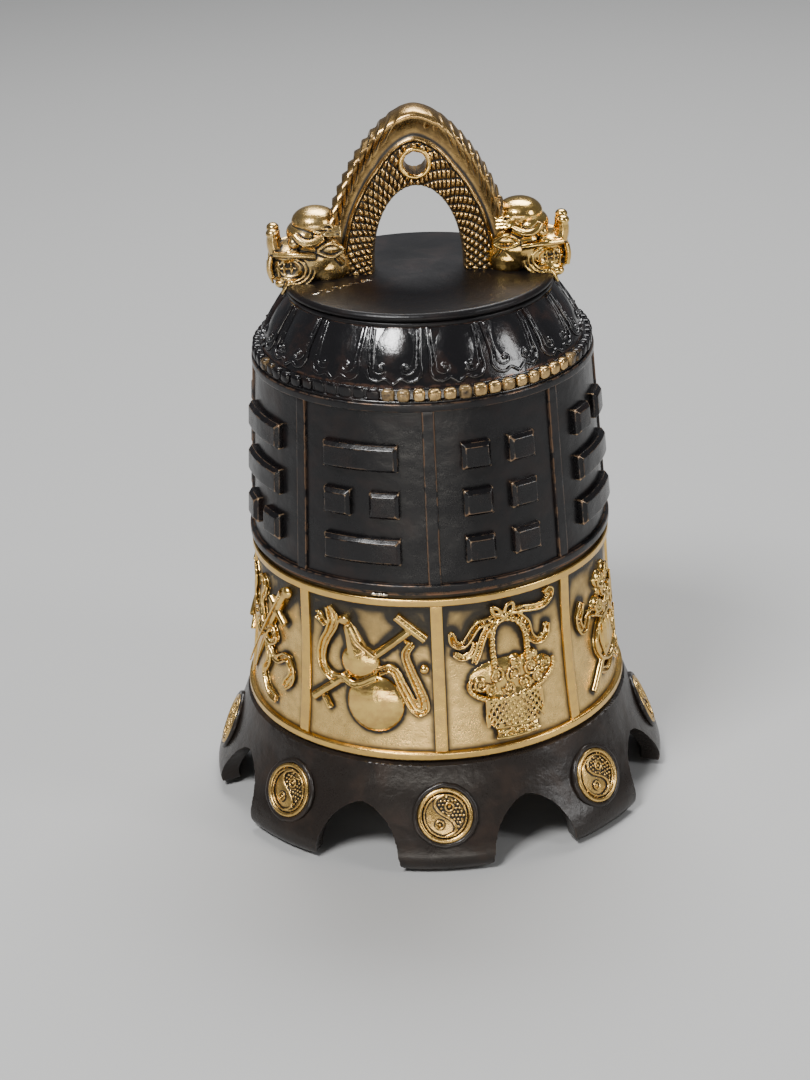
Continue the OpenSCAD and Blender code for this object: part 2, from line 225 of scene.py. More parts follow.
def softCorners(outline, size=0.3, steps=3):
    # each corner becomes a short curve
    done = []
    count = len(outline)
    for i in range(count):
        here = Vector(outline[i][:2])
        reach = outline[i][2] if len(outline[i]) > 2 else size
        back = Vector(outline[i - 1][:2]) - here
        ahead = Vector(outline[(i + 1) % count][:2]) - here
        if reach == 0:
            done.append(tuple(here))
            continue
        start = here + back.normalized() * min(reach, back.length * 0.45)
        end = here + ahead.normalized() * min(reach, ahead.length * 0.45)
        for k in range(steps + 1):
            t = k / steps
            done.append(tuple(start * (1 - t) ** 2 + here * 2 * t * (1 - t) + end * t * t))
    return done


def throughPoints(points, count):
    # even points on a smooth line through a few placed ones
    p = np.array(points, float)
    if p.shape[1] == 2:
        p = np.stack([p[:, 0], np.zeros(len(p)), p[:, 1]], 1)
    ends = np.concatenate([[2 * p[0] - p[1]], p, [2 * p[-1] - p[-2]]])
    line = []
    for i in range(len(p) - 1):
        a, b, c, d = ends[i:i + 4]
        for t in np.linspace(0, 1, 12, endpoint=False):
            line.append(0.5 * (2 * b + (c - a) * t + (2 * a - 5 * b + 4 * c - d) * t**2
                               + (3 * b - a - 3 * c + d) * t**3))
    line.append(p[-1])
    line = np.array(line)
    run = np.concatenate([[0], np.cumsum(np.linalg.norm(np.diff(line, axis=0), axis=1))])
    even = np.linspace(0, run[-1], count)
    return np.stack([np.interp(even, run, line[:, k]) for k in range(3)], 1)


def strand(points, thick, endThick=None, sides=2, rise=0.0):
    # a round wire laid along the points, drawn thinner towards its end
    length = sum(math.dist(a, b) for a, b in zip(points, points[1:]))
    count = max(6, int(length / max(thick * 0.9, 0.35)))
    line = throughPoints(points, count)
    bpy.ops.object.select_all(action="DESELECT")
    bpy.ops.curve.primitive_nurbs_path_add()
    wire = bpy.context.object
    path = wire.data.splines[0]
    path.points.add(count - len(path.points))
    endThick = thick if endThick is None else endThick
    for i, point in enumerate(path.points):
        t = i / (count - 1)
        point.co = (line[i][0], line[i][1] - rise, line[i][2], 1)
        point.radius = thick + (endThick - thick) * t
    path.order_u = 3
    path.use_endpoint_u = True
    path.resolution_u = 2
    wire.data.bevel_depth = 1
    wire.data.bevel_resolution = sides
    wire.data.use_fill_caps = True
    bpy.ops.object.convert(target="MESH")
    return bpy.context.object


def pad(place, size, turn=0.0, lean=0.0, rings=16):
    # a flattened ball; turn is about the depth, lean about the height, in degrees
    bpy.ops.object.select_all(action="DESELECT")
    bpy.ops.mesh.primitive_uv_sphere_add(segments=2 * rings, ring_count=rings, radius=1, location=place)
    ball = bpy.context.object
    ball.scale = size
    ball.rotation_euler = (0, math.radians(-turn), math.radians(lean))
    fixPlace(ball)
    return ball


def block(place, size, turn=0.0, soft=0.2):
    bpy.ops.object.select_all(action="DESELECT")
    bpy.ops.mesh.primitive_cube_add(size=1, location=place)
    cube = bpy.context.object
    cube.scale = size
    cube.rotation_euler = (0, math.radians(-turn), 0)
    fixPlace(cube)
    if soft:
        useModifier(cube, "BEVEL", width=soft, segments=2, limit_method="ANGLE")
    return cube


def fuse(pieces, name, grain, smooth=2):
    # loose shapes become one casting with soft inner corners
    cast = joinAll(pieces, name)
    cast.data.remesh_voxel_size = grain
    cast.data.use_remesh_preserve_volume = True
    activate(cast)
    bpy.ops.object.voxel_remesh()
    if smooth:
        useModifier(cast, "SMOOTH", factor=0.5, iterations=smooth)
    return cast


def cutBehind(piece, depth):
    # flat back, closed, a little under the wall
    activate(piece)
    editAll()
    bpy.ops.mesh.bisect(plane_co=(0, depth, 0), plane_no=(0, 1, 0), clear_outer=True, use_fill=True)
    bpy.ops.object.mode_set(mode="OBJECT")


def markWear(piece, reach=1, hollow=None):
    # edges that stick out and corners that dip in, for the finishes to read
    mesh = piece.data
    count = len(mesh.vertices)
    p = getPoints(piece)
    flat = np.empty(count * 3)
    mesh.vertices.foreach_get("normal", flat)
    normals = flat.reshape(-1, 3)
    pairs = np.empty(len(mesh.edges) * 2, int)
    mesh.edges.foreach_get("vertices", pairs)
    a, b = pairs.reshape(-1, 2).T
    step = p[a] - p[b]
    step /= np.maximum(np.linalg.norm(step, axis=1), 1e-9)[:, None]
    total = np.bincount(a, (step * normals[a]).sum(1), count)
    total = total + np.bincount(b, (-step * normals[b]).sum(1), count)
    shared = np.maximum(np.bincount(a, minlength=count) + np.bincount(b, minlength=count), 1)
    bend = total / shared
    for _ in range(reach):
        near = (np.bincount(a, bend[b], count) + np.bincount(b, bend[a], count)) / shared
        bend = 0.5 * bend + 0.5 * near
    for name, values in (("edgeWear", np.clip(bend * 3, 0, 1)), ("grime", np.clip(-bend * 3, 0, 1))):
        if name == "grime" and hollow is not None:
            values = np.clip(values + hollow, 0, 1)
        mark = mesh.attributes.get(name) or mesh.attributes.new(name, "FLOAT", "POINT")
        mark.data.foreach_set("value", values.astype(np.float32))


def finishPiece(piece, material, body="bell", nodes=(), angle=40, reach=1, hollow=None, mark=True):
    if mark:
        markWear(piece, reach, hollow)
    activate(piece)
    piece.data.materials.clear()
    piece.data.materials.append(material)
    setPoints(piece, getPoints(piece) - (0, 0, benchFeet))
    bpy.ops.transform.resize(value=(mm, mm, mm), center_override=(0, 0, 0))
    fixPlace(piece)
    bpy.ops.object.shade_smooth_by_angle(angle=math.radians(angle))
    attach(piece, body)
    if nodes:
        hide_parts(*nodes)
    return piece


# finishes

def addNode(tree, kind, settings=None, sockets=None):
    node = tree.nodes.new("ShaderNode" + kind)
    for key, value in (settings or {}).items():
        setattr(node, key, value)
    for key, value in (sockets or {}).items():
        if isinstance(value, bpy.types.NodeSocket):
            tree.links.new(value, node.inputs[key])
        else:
            node.inputs[key].default_value = value
    return node


def sums(tree, operation, a, b, clamp=False):
    return addNode(tree, "Math", {"operation": operation, "use_clamp": clamp}, {0: a, 1: b}).outputs[0]


def blendColours(tree, factor, a, b):
    return addNode(tree, "Mix", {"data_type": "RGBA"}, {0: factor, 6: a, 7: b}).outputs[2]


def stretch(tree, value, start, end, least=0.0, most=1.0):
    sockets = {"Value": value, "From Min": start, "From Max": end, "To Min": least, "To Max": most}
    return addNode(tree, "MapRange", {"interpolation_type": "SMOOTHSTEP"}, sockets).outputs[0]


def castFinish(name, look):
    # bare metal under a patina: hollows stay dark, edges and rubbed patches show the metal
    material = bpy.data.materials.new(name)
    material.use_nodes = True
    tree = material.node_tree
    tree.nodes.clear()
    place = addNode(tree, "TexCoord").outputs["Object"]
    inMm = addNode(tree, "Mapping", None, {"Vector": place, "Scale": (1 / mm, 1 / mm, 1 / mm)}).outputs[0]

    def noise(scale, detail=3.0, rough=0.55, warp=0.0):
        sockets = {"Vector": inMm, "Scale": scale, "Detail": detail, "Roughness": rough, "Distortion": warp}
        return addNode(tree, "TexNoise", None, sockets).outputs["Fac"]

    def plus(a, b):
        return sums(tree, "ADD", a, b)

    def times(a, b):
        return sums(tree, "MULTIPLY", a, b)

    def around(value, gain):
        return times(sums(tree, "SUBTRACT", value, 0.5), gain)

    patch = noise(look["patchScale"], 4, 0.6, 0.4)
    blotch = noise(look["patchScale"] * 3.1, 3, 0.6)
    grain = noise(look["grainScale"], 3, 0.6)
    edge = addNode(tree, "Attribute", {"attribute_name": "edgeWear"}).outputs["Fac"]
    grime = addNode(tree, "Attribute", {"attribute_name": "grime"}).outputs["Fac"]
    cover = plus(times(grime, look["grimeGain"]), look["cover"])
    cover = plus(cover, around(patch, look["patchGain"]))
    rub = times(edge, stretch(tree, blotch, 0.3, 0.62, look["edgeLeast"], 1.0))
    cover = sums(tree, "SUBTRACT", cover, times(rub, look["edgeGain"]))
    cover = stretch(tree, cover, 0.25, 0.75)
    metal = blendColours(tree, stretch(tree, blotch, 0.35, 0.65), look["metal"], look["metalTint"])
    patina = blendColours(tree, stretch(tree, patch, 0.48, 0.68), look["patina"], look["patinaTint"])
    colour = blendColours(tree, cover, metal, patina)
    metallic = stretch(tree, cover, 0.0, 1.0, 1.0, look["patinaMetallic"])
    rough = stretch(tree, cover, 0.0, 1.0, look["metalRough"], look["patinaRough"])
    rough = plus(rough, around(grain, look["roughGain"]))
    rough = sums(tree, "ADD", rough, around(patch, look["smearGain"]), clamp=True)
    pits = noise(look["pitScale"], 2, 0.5)
    height = plus(times(grain, look["grainDepth"]), times(pits, look["pitDepth"]))
    height = plus(height, times(noise(look["waveScale"], 2, 0.5), look["waveDepth"]))
    bump = addNode(tree, "Bump", None, {"Height": height, "Strength": look["bump"], "Distance": mm})
    sockets = {"Base Color": colour, "Metallic": metallic, "Roughness": rough, "Normal": bump.outputs[0],
               "Specular IOR Level": look.get("gloss", 0.5), "Coat Weight": look.get("coat", 0.0),
               "Coat Roughness": 0.15}
    shader = addNode(tree, "BsdfPrincipled", None, sockets)
    tree.links.new(shader.outputs[0], addNode(tree, "OutputMaterial").inputs["Surface"])
    material.diffuse_color = look["metal"] if look["cover"] < 0.5 else look["patina"]
    return material


brass = {
    "metal": (0.84, 0.54, 0.15, 1), "metalTint": (0.72, 0.46, 0.15, 1),
    "patina": (0.014, 0.011, 0.007, 1), "patinaTint": (0.034, 0.026, 0.013, 1),
    "patchScale": 0.16, "patchGain": 0.45, "grainScale": 3.2, "pitScale": 1.3,
    "grimeGain": 1.1, "cover": 0.08, "edgeGain": 0.7, "edgeLeast": 0.4,
    "patinaMetallic": 0.2, "metalRough": 0.24, "patinaRough": 0.45,
    "roughGain": 0.18, "smearGain": 0.16, "grainDepth": 0.04, "pitDepth": 0.06, "bump": 0.5,
    "waveScale": 0.22, "waveDepth": 0.3,
}
black = {
    **brass, "metal": (0.30, 0.18, 0.10, 1), "metalTint": (0.16, 0.085, 0.055, 1),
    "patina": (0.0045, 0.0040, 0.0045, 1), "patinaTint": (0.010, 0.006, 0.0055, 1),
    "patchScale": 0.12, "patchGain": 0.2, "grimeGain": 0.3, "cover": 1.0, "edgeGain": 0.9,
    "patinaMetallic": 0.0, "metalRough": 0.32, "patinaRough": 0.3, "roughGain": 0.14, "smearGain": 0.2,
    "grainDepth": 0.03, "pitDepth": 0.07, "bump": 0.45, "gloss": 0.36, "waveScale": 0.14, "waveDepth": 0.8,
}
looks = {
    "satinBlack": {**black, "edgeGain": 0.8},
    "crownBlack": {**black, "patinaRough": 0.36, "gloss": 0.26, "pitDepth": 0.12, "waveDepth": 0.4},
    "glossBlack": {
        **black, "patinaTint": (0.014, 0.0075, 0.006, 1), "patinaRough": 0.17, "patchScale": 0.2,
        "coat": 0.3, "edgeGain": 0.7, "metal": (0.07, 0.035, 0.025, 1), "pitDepth": 0.09, "gloss": 0.6},
    "beadWear": {
        **black, "metal": (0.66, 0.45, 0.19, 1), "metalTint": (0.48, 0.31, 0.14, 1), "patchGain": 0.5,
        "patchScale": 0.5, "cover": 0.15, "grimeGain": 1.0, "edgeGain": 0.3, "edgeLeast": 0.1,
        "patinaRough": 0.22, "metalRough": 0.26},
    "barBlack": {
        **black, "metal": (0.60, 0.43, 0.26, 1), "metalTint": (0.30, 0.19, 0.12, 1), "edgeGain": 1.8,
        "edgeLeast": 0.25, "patinaRough": 0.26},
    "brownBlack": {
        **black, "patina": (0.015, 0.0115, 0.0095, 1), "patinaTint": (0.024, 0.016, 0.012, 1),
        "patinaRough": 0.3, "edgeGain": 0.75, "pitDepth": 0.1},
    "ribBrown": {
        **black, "metal": (0.30, 0.19, 0.12, 1), "metalTint": (0.16, 0.095, 0.06, 1), "edgeGain": 1.5,
        "edgeLeast": 0.15},
    "goldGround": {
        **brass, "metal": (0.86, 0.58, 0.21, 1), "metalTint": (0.70, 0.47, 0.17, 1), "metalRough": 0.28,
        "grainDepth": 0.11, "pitDepth": 0.04, "grainScale": 2.6, "bump": 0.6, "patchGain": 0.32,
        "cover": 0.12},
    "goldRim": {**brass, "metalRough": 0.22, "cover": 0.05, "patchGain": 0.6},
    "goldRelief": {**brass, "metal": (0.88, 0.60, 0.18, 1), "metalRough": 0.19, "cover": 0.06},
    "goldHandle": {
        **brass, "metal": (0.52, 0.33, 0.12, 1), "metalTint": (0.34, 0.21, 0.08, 1), "metalRough": 0.27,
        "cover": 0.32, "grimeGain": 1.9, "patchGain": 0.7},
    "goldHead": {
        **brass, "metal": (0.88, 0.60, 0.18, 1), "metalRough": 0.17, "cover": 0.05, "grimeGain": 1.6,
        "patchGain": 0.6},
    "goldHeadDark": {
        **brass, "metal": (0.70, 0.50, 0.22, 1), "metalRough": 0.26, "cover": 0.3, "grimeGain": 2.4,
        "patchGain": 1.3, "patchScale": 0.3},
    "medalGold": {
        **brass, "metal": (0.58, 0.38, 0.12, 1), "metalRough": 0.28, "cover": 0.3, "grimeGain": 2.2,
        "patchGain": 1.0, "patchScale": 0.3},
    "solder": {
        **brass, "metal": (0.72, 0.66, 0.55, 1), "metalTint": (0.5, 0.44, 0.35, 1), "cover": 0.3,
        "metalRough": 0.25, "pitDepth": 0.2, "patchGain": 1.2, "patchScale": 0.8},
    "plainBrass": {**brass, "metal": (0.55, 0.40, 0.19, 1), "cover": 0.3, "metalRough": 0.38},
}
finishes = {name: castFinish(name, look) for name, look in looks.items()}
print("finishes ready")


# crown, shoulder, petals and beads

crown = {"rim": 0.45, "dome": 1.0, "steps": 18}


def makeCrown():
    top, plate, r = level["crown"], level["plate"], radius["crown"]
    dome = [(r - 0.7 - (r - 0.7) * i / crown["steps"],
             top + crown["dome"] * math.sin(math.pi / 2 * i / crown["steps"]))
            for i in range(1, crown["steps"] + 1)]
    edge = softCorners([
        (r - 0.7, top, 0.3), (r, top - 0.6, 0.4), (r, plate + 1.4, 0.3), (r - 0.9, plate + 1, 0.15),
        (r - 0.3, plate + 0.7, 0.2), (r - 0.3, plate, 0.1), (1, plate, 0)], crown["rim"])
    outline = list(reversed(dome)) + edge[:-1] + [(0, plate)]
    plateShell = latheShell("crownPlate", outline, closed=False)
    finishPiece(plateShell, finishes["crownBlack"], nodes=("crown_plate",))
    return plateShell


makeCrown()
print("crown plate done")

shoulder = {"steps": 14, "lipOut": 0.15, "lipDrop": 0.25}


def makeShoulder():
    a, b = level["beadTop"], level["plate"]
    heights = [a + (b - a) * i / shoulder["steps"] for i in range(shoulder["steps"] + 1)]
    outer = [(float(shoulderRadius(z)), z) for z in heights]
    lip = [(outer[-1][0] + shoulder["lipOut"], b - shoulder["lipDrop"])]
    inner = [(x - wall, z) for x, z in reversed(outer)]
    shell = latheShell("shoulderWall", outer[:-1] + lip + [outer[-1]] + inner)
    finishPiece(shell, finishes["glossBlack"], nodes=("shoulder_ring",), angle=60)


makeShoulder()
print("shoulder done")

petal = {
    "count": 16,
    "outerLine": [(5.9, 13), (5.7, 9), (5.5, 6), (5.7, 3.8), (4.9, 1.9), (3.2, 1.3), (1.7, 2.0), (0, 0.7)],
    "scroll": [(5.0, 12.6), (4.8, 8.4), (4.5, 5.6), (4.4, 4.0), (3.3, 3.0), (2.1, 3.3), (1.8, 4.5),
               (2.6, 5.2), (3.3, 4.6)],
    "line": 0.46, "scrollLine": 0.38,
    "wornAngle": math.radians(-31), "wornSpread": math.radians(15),
}


def wornAway(angle):
    turn = (angle - petal["wornAngle"] + math.pi) % math.tau - math.pi
    return math.exp(-(turn / petal["wornSpread"]) ** 4)


def onShoulder(piece, angle, relief):
    # bench x runs round the shoulder, z up its slope, -y stands out of it
    p = getPoints(piece)
    a0, b0 = level["beadTop"], level["plate"]
    z = a0 + (b0 - a0) * np.clip(p[:, 2], 0, 13) / 13
    r = shoulderRadius(z)
    slope = (shoulderRadius(z + 0.05) - shoulderRadius(z - 0.05)) / 0.1
    normalR = 1 / np.sqrt(1 + slope**2)
    normalZ = -slope * normalR
    out = -p[:, 1] * relief
    a = angle + p[:, 0] / 13.2 * math.tau / petal["count"]
    r = r + out * normalR
    setPoints(piece, np.stack([r * np.sin(a), -r * np.cos(a), z + out * normalZ], 1))


def makePetals():
    lines = []
    for side in (-1, 1):
        lines.append(strand([(side * x, z) for x, z in petal["outerLine"]], petal["line"]))
        lines.append(strand([(side * x, z) for x, z in petal["scroll"]], petal["scrollLine"],
                            petal["scrollLine"] * 0.8))
        lines.append(pad((side * 2.8, 0, 4.3), (0.5, 0.55, 0.5)))
    lines.append(pad((0, 0.45, 8.4), (5.6, 0.68, 7.2)))
    single = fuse(lines, "petal", 0.19, 1)
    cutBehind(single, 0.14)
    petals = []
    for i in range(petal["count"]):
        angle = (i + 0.5) * math.tau / petal["count"]
        angle = angle if angle < math.pi else angle - math.tau
        one = copyOf(single)
        onShoulder(one, angle, 1 - 0.72 * wornAway(angle))
        petals.append(one)
    bpy.data.objects.remove(single)
    ring = joinAll(petals, "lotusPetals")
    finishPiece(ring, finishes["glossBlack"], nodes=("lotus_petals",), angle=60)


makePetals()
print("petals done")

beadCourse = {"count": 71, "width": 2.6, "height": 2.6, "rise": 1.2}


def makeBeads():
    a, b = level["beadFoot"], level["beadTop"]
    back = radius["drumTop"] - 0.6
    outline = softCorners([
        (back - 2.4, a), (back + 0.75, a, 0.1), (back + 0.75, a + 0.35, 0.2), (back, a + 0.6, 0.1),
        (back, b - 0.3, 0.1), (back - 0.35, b, 0.1), (back - 2.4, b)], 0.1, 2)
    ring = latheShell("beadRing", outline)
    finishPiece(ring, finishes["glossBlack"], nodes=("bead_course",))
    random.seed(7)
    single = block((0, 0, 0), (beadCourse["width"], 2 * beadCourse["rise"], beadCourse["height"]), soft=0)
    useModifier(single, "BEVEL", width=0.8, segments=3, limit_method="NONE")
    beads, beadDarkness = [], []
    for i in range(beadCourse["count"]):
        angle = (i + 0.5) * math.tau / beadCourse["count"]
        signed = angle if angle < math.pi else angle - math.tau
        turn = math.degrees(signed)
        # beads from about 17° left to 61° right of the front, and a few near 62° left, are given more bare
        # metal and come out brighter; the rest are darker
        bright = math.exp(-((turn - 22) / 41) ** 6) + 0.35 * math.exp(-((turn + 62) / 14) ** 2)
        beadDarkness += [1 - bright * random.uniform(0.45, 1.0) - 0.12 * random.random()] * len(single.data.vertices)
        one = copyOf(single)
        p = getPoints(one)
        p[:, 0] *= random.uniform(0.9, 1.05)
        p[:, 2] = p[:, 2] * random.uniform(0.92, 1.04) + (a + b) / 2 + 0.1
        p[:, 1] *= (1 - 0.8 * wornAway(signed)) * random.uniform(0.85, 1.05)
        p[:, 1] -= back
        setPoints(one, turnedTo(p, angle))
        beads.append(one)
    bpy.data.objects.remove(single)
    row = joinAll(beads, "beadRow")
    finishPiece(row, finishes["beadWear"], reach=0, hollow=np.array(beadDarkness))


makeBeads()
print("beads done")


def slicePiece(piece, axis, levels):
    activate(piece)
    normal = [0, 0, 0]
    normal[axis] = 1
    bpy.ops.object.mode_set(mode="EDIT")
    for value in levels:
        point = [0, 0, 0]
        point[axis] = value
        bpy.ops.mesh.select_all(action="SELECT")
        bpy.ops.mesh.bisect(plane_co=point, plane_no=normal)
    bpy.ops.object.mode_set(mode="OBJECT")


def steps(start, end, gap):
    count = max(2, int(abs(end - start) / gap))
    return [start + (end - start) * i / count for i in range(count + 1)]


# drum with its rims and ribs
frameBar = {"rise": 0.6, "rimRise": 0.8, "rimHeight": 1.7, "sunk": 1.0, "width": 2.6, "row": 1.6}


def makeRibs(name, foot, top, wallAt, reference, material):
    single = block((0, (frameBar["sunk"] - frameBar["rise"]) / 2, (foot + top) / 2),
                   (frameBar["width"], frameBar["rise"] + frameBar["sunk"], top - foot), soft=0.28)
    slicePiece(single, 0, (-0.75, 0.75))
    slicePiece(single, 2, steps(foot, top, frameBar["row"])[1:-1])
    ribs = []
    for i in range(panelCount):
        one = copyOf(single)
        wrapOn(one, i * panelStep, wallAt, reference)
        ribs.append(one)
    bpy.data.objects.remove(single)
    finishPiece(joinAll(ribs, name), material, reach=0)


def makeRim(name, foot, top, out, material):
    outline = softCorners([(out - 2, foot, 0), (out, foot, 0.4), (out, top, 0.4), (out - 2, top, 0)], 0.4, 4)
    finishPiece(latheShell(name, outline), material, reach=0)


def makeDrum():
    a, b = level["drumFoot"], level["beadFoot"]
    outer = [(float(drumRadius(z)), z) for z in steps(a, b, 1.2)]
    shell = latheShell("drumWall", outer + [(x - wall, z) for x, z in reversed(outer)])
    finishPiece(shell, finishes["satinBlack"], nodes=("trigram_drum",))
    h = frameBar["rimHeight"]
    makeRim("drumTopRim", b - h, b, radius["drumTop"] + frameBar["rimRise"], finishes["ribBrown"])
    makeRim("drumFootRim", a + 0.8, a + 0.8 + h, radius["drumFoot"] + frameBar["rimRise"],
            finishes["ribBrown"])
    makeRibs("drumRibs", a + h, b - h / 2, drumRadius, wrapRadius["drum"], finishes["ribBrown"])


makeDrum()
print("drum done")

# three lines a panel, top first; 1 is whole and 0 is broken
trigrams = {
    "earth": (0, 0, 0), "lake": (0, 1, 1), "heaven": (1, 1, 1), "water": (0, 1, 0),
    "mountain": (1, 0, 0), "thunder": (0, 0, 1), "wind": (1, 1, 0), "fire": (1, 0, 1),
}
bar = {"top": 89.1, "pitch": 9.65, "height": 5.4, "width": 16.3, "gap": 4.0, "rise": 1.7, "bevel": 0.75,
       "grain": 0.26}


def barBlock(x, z, width):
    body = block((x, -0.1, z), (width, 2 * (bar["rise"] - bar["bevel"]), bar["height"]), soft=0)
    activate(body)
    bpy.ops.object.mode_set(mode="EDIT")
    bpy.ops.mesh.select_all(action="DESELECT")
    bpy.ops.object.mode_set(mode="OBJECT")
    for face in body.data.polygons:
        face.select = face.normal.y < -0.9
    bpy.ops.object.mode_set(mode="EDIT")
    bpy.ops.mesh.select_mode(type="FACE")
    bpy.ops.mesh.extrude_region_move(TRANSFORM_OT_translate={"value": (0, -bar["bevel"], 0)})
    taper = (1 - 2 * bar["bevel"] / width, 1, 1 - 2 * bar["bevel"] / bar["height"])
    bpy.ops.transform.resize(value=taper, center_override=(x, -bar["rise"], z))
    bpy.ops.mesh.select_mode(type="VERT")
    bpy.ops.object.mode_set(mode="OBJECT")
    return body


def makeTrigrams():
    half = (bar["width"] - bar["gap"]) / 2
    for place, (name, lines) in enumerate(trigrams.items()):
        pieces = []
        for i, whole in enumerate(lines):
            z = bar["top"] - i * bar["pitch"]
            if whole:
                pieces.append(barBlock(0, z, bar["width"]))
            else:
                pieces += [barBlock(side * (half + bar["gap"]) / 2, z, half) for side in (-1, 1)]
        cast = fuse(pieces, name + "Bars", bar["grain"], 2)
        wrapOn(cast, (place + 0.5) * panelStep, drumRadius, wrapRadius["drum"])
        finishPiece(cast, finishes["barBlack"], nodes=("trigram_" + name,), reach=2)


makeTrigrams()
print("trigrams done")


# gold band and the eight emblems on it
band = {"middle": 42.2, "rows": 72, "turns": 432, "rimTop": 59.7, "grimeReach": 1.1, "grain": 0.21}


def doubleLine(points, width=1.1, thick=0.34, rise=0.2, flare=0.7):
    # a ribbon: two raised edges with a lower middle between them, flaring to a point
    line = throughPoints(points, max(8, int(3 * len(points))))
    along = np.gradient(line, axis=0)
    along /= np.linalg.norm(along, axis=1)[:, None]
    side = np.stack([-along[:, 2], np.zeros(len(line)), along[:, 0]], 1)
    t = np.linspace(0, 1, len(line))
    spread = width * (0.75 + 0.35 * np.sin(math.pi * t) + flare * np.clip((t - 0.7) / 0.2, 0, 1)
                      * np.clip((1 - t) / 0.1, 0.1, 1))
    parts = []
    for way in (-1, 1):
        edge = line + side * way * spread[:, None] * 0.5
        parts.append(strand([tuple(q) for q in edge], thick, thick * 0.75, rise=rise + 0.5))
    for way in (-0.22, 0.22):
        middle = line + side * way * spread[:, None]
        parts.append(strand([tuple(q) for q in middle], width * 0.3, width * 0.28, rise=rise - 0.3))
    return parts


def spiral(x, z, size, turns=1.6, thick=0.36, hand=1, begin=0.0):
    points = []
    for i in range(15):
        t = i / 14
        a = begin + hand * turns * math.tau * t
        reach = size * (1 - 0.8 * t)
        points.append((x + reach * math.cos(a), z + reach * math.sin(a)))
    return strand(points, thick, thick * 0.7, rise=1.15)


def rod(a, b, thick, rise=0.5):
    return strand([a, ((a[0] + b[0]) / 2, (a[1] + b[1]) / 2), b], thick, rise=rise)


def bow(x, z, size):
    loops = []
    for side in (-1, 1):
        loops += doubleLine([(x, z), (x + side * size, z + size * 0.9),
                             (x + side * size * 1.7, z + size * 0.2),
                             (x + side * size * 0.8, z - size * 0.3), (x, z)], 0.9, 0.36, 0.5)
    return loops + [pad((x, -0.6, z), (0.85, 0.9, 0.85))]


def gourdEmblem():
    parts = [
        pad((1.8, 0, -5.9), (6.3, 1.9, 6.2)), pad((-1.4, 0, 2.6), (4.5, 1.8, 4.0)),
        strand([(-1.8, 4.6), (-3.2, 8.2), (-4.6, 10.6)], 2.9, 1.5, rise=-0.8),
        pad((-4.8, -0.5, 11.6), (1.5, 1.1, 1.1)),
        strand([(-5.9, 11.2), (-4.7, 12.3), (-3.5, 11.8)], 0.4, rise=1.2),
        strand([(-3.2, 10.4), (-1.6, 7.6), (2.2, 4.6)], 0.36, rise=1.2),
        rod((-12.8, -7.2), (9.3, 10.3), 1.0, 0.1), rod((6.8, 13.7), (12.8, 8.7), 1.05, 0.4),
        rod((-9.8, -6.4), (-8.3, -8.6), 0.8), pad((12.4, -0.6, 2.2), (1, 0.9, 1)),
    ]
    for drop in (0, -0.8):
        parts.append(strand([(-5, 0 + drop), (-1.9, -1.3 + drop), (2.6, 0.9 + drop)], 0.42, rise=1.65))
    parts += doubleLine([(2.7, 1.2), (5.8, 2), (8.2, -2.4), (10.2, -6.4), (11.9, -6.8), (11.9, -4.2),
                         (9.6, 1.8), (8.6, 5.4), (10, 7.8)], 1.6, flare=0)
    parts += doubleLine([(-3.6, -1), (-8, -1.6), (-10.6, 1.2), (-10.2, 5), (-8.4, 8.4), (-7.4, 11),
                         (-8.6, 13.8)], 1.6)
    parts += doubleLine([(-9.4, 9.6), (-10.8, 11), (-12, 11.4)], 1.3)
    return parts


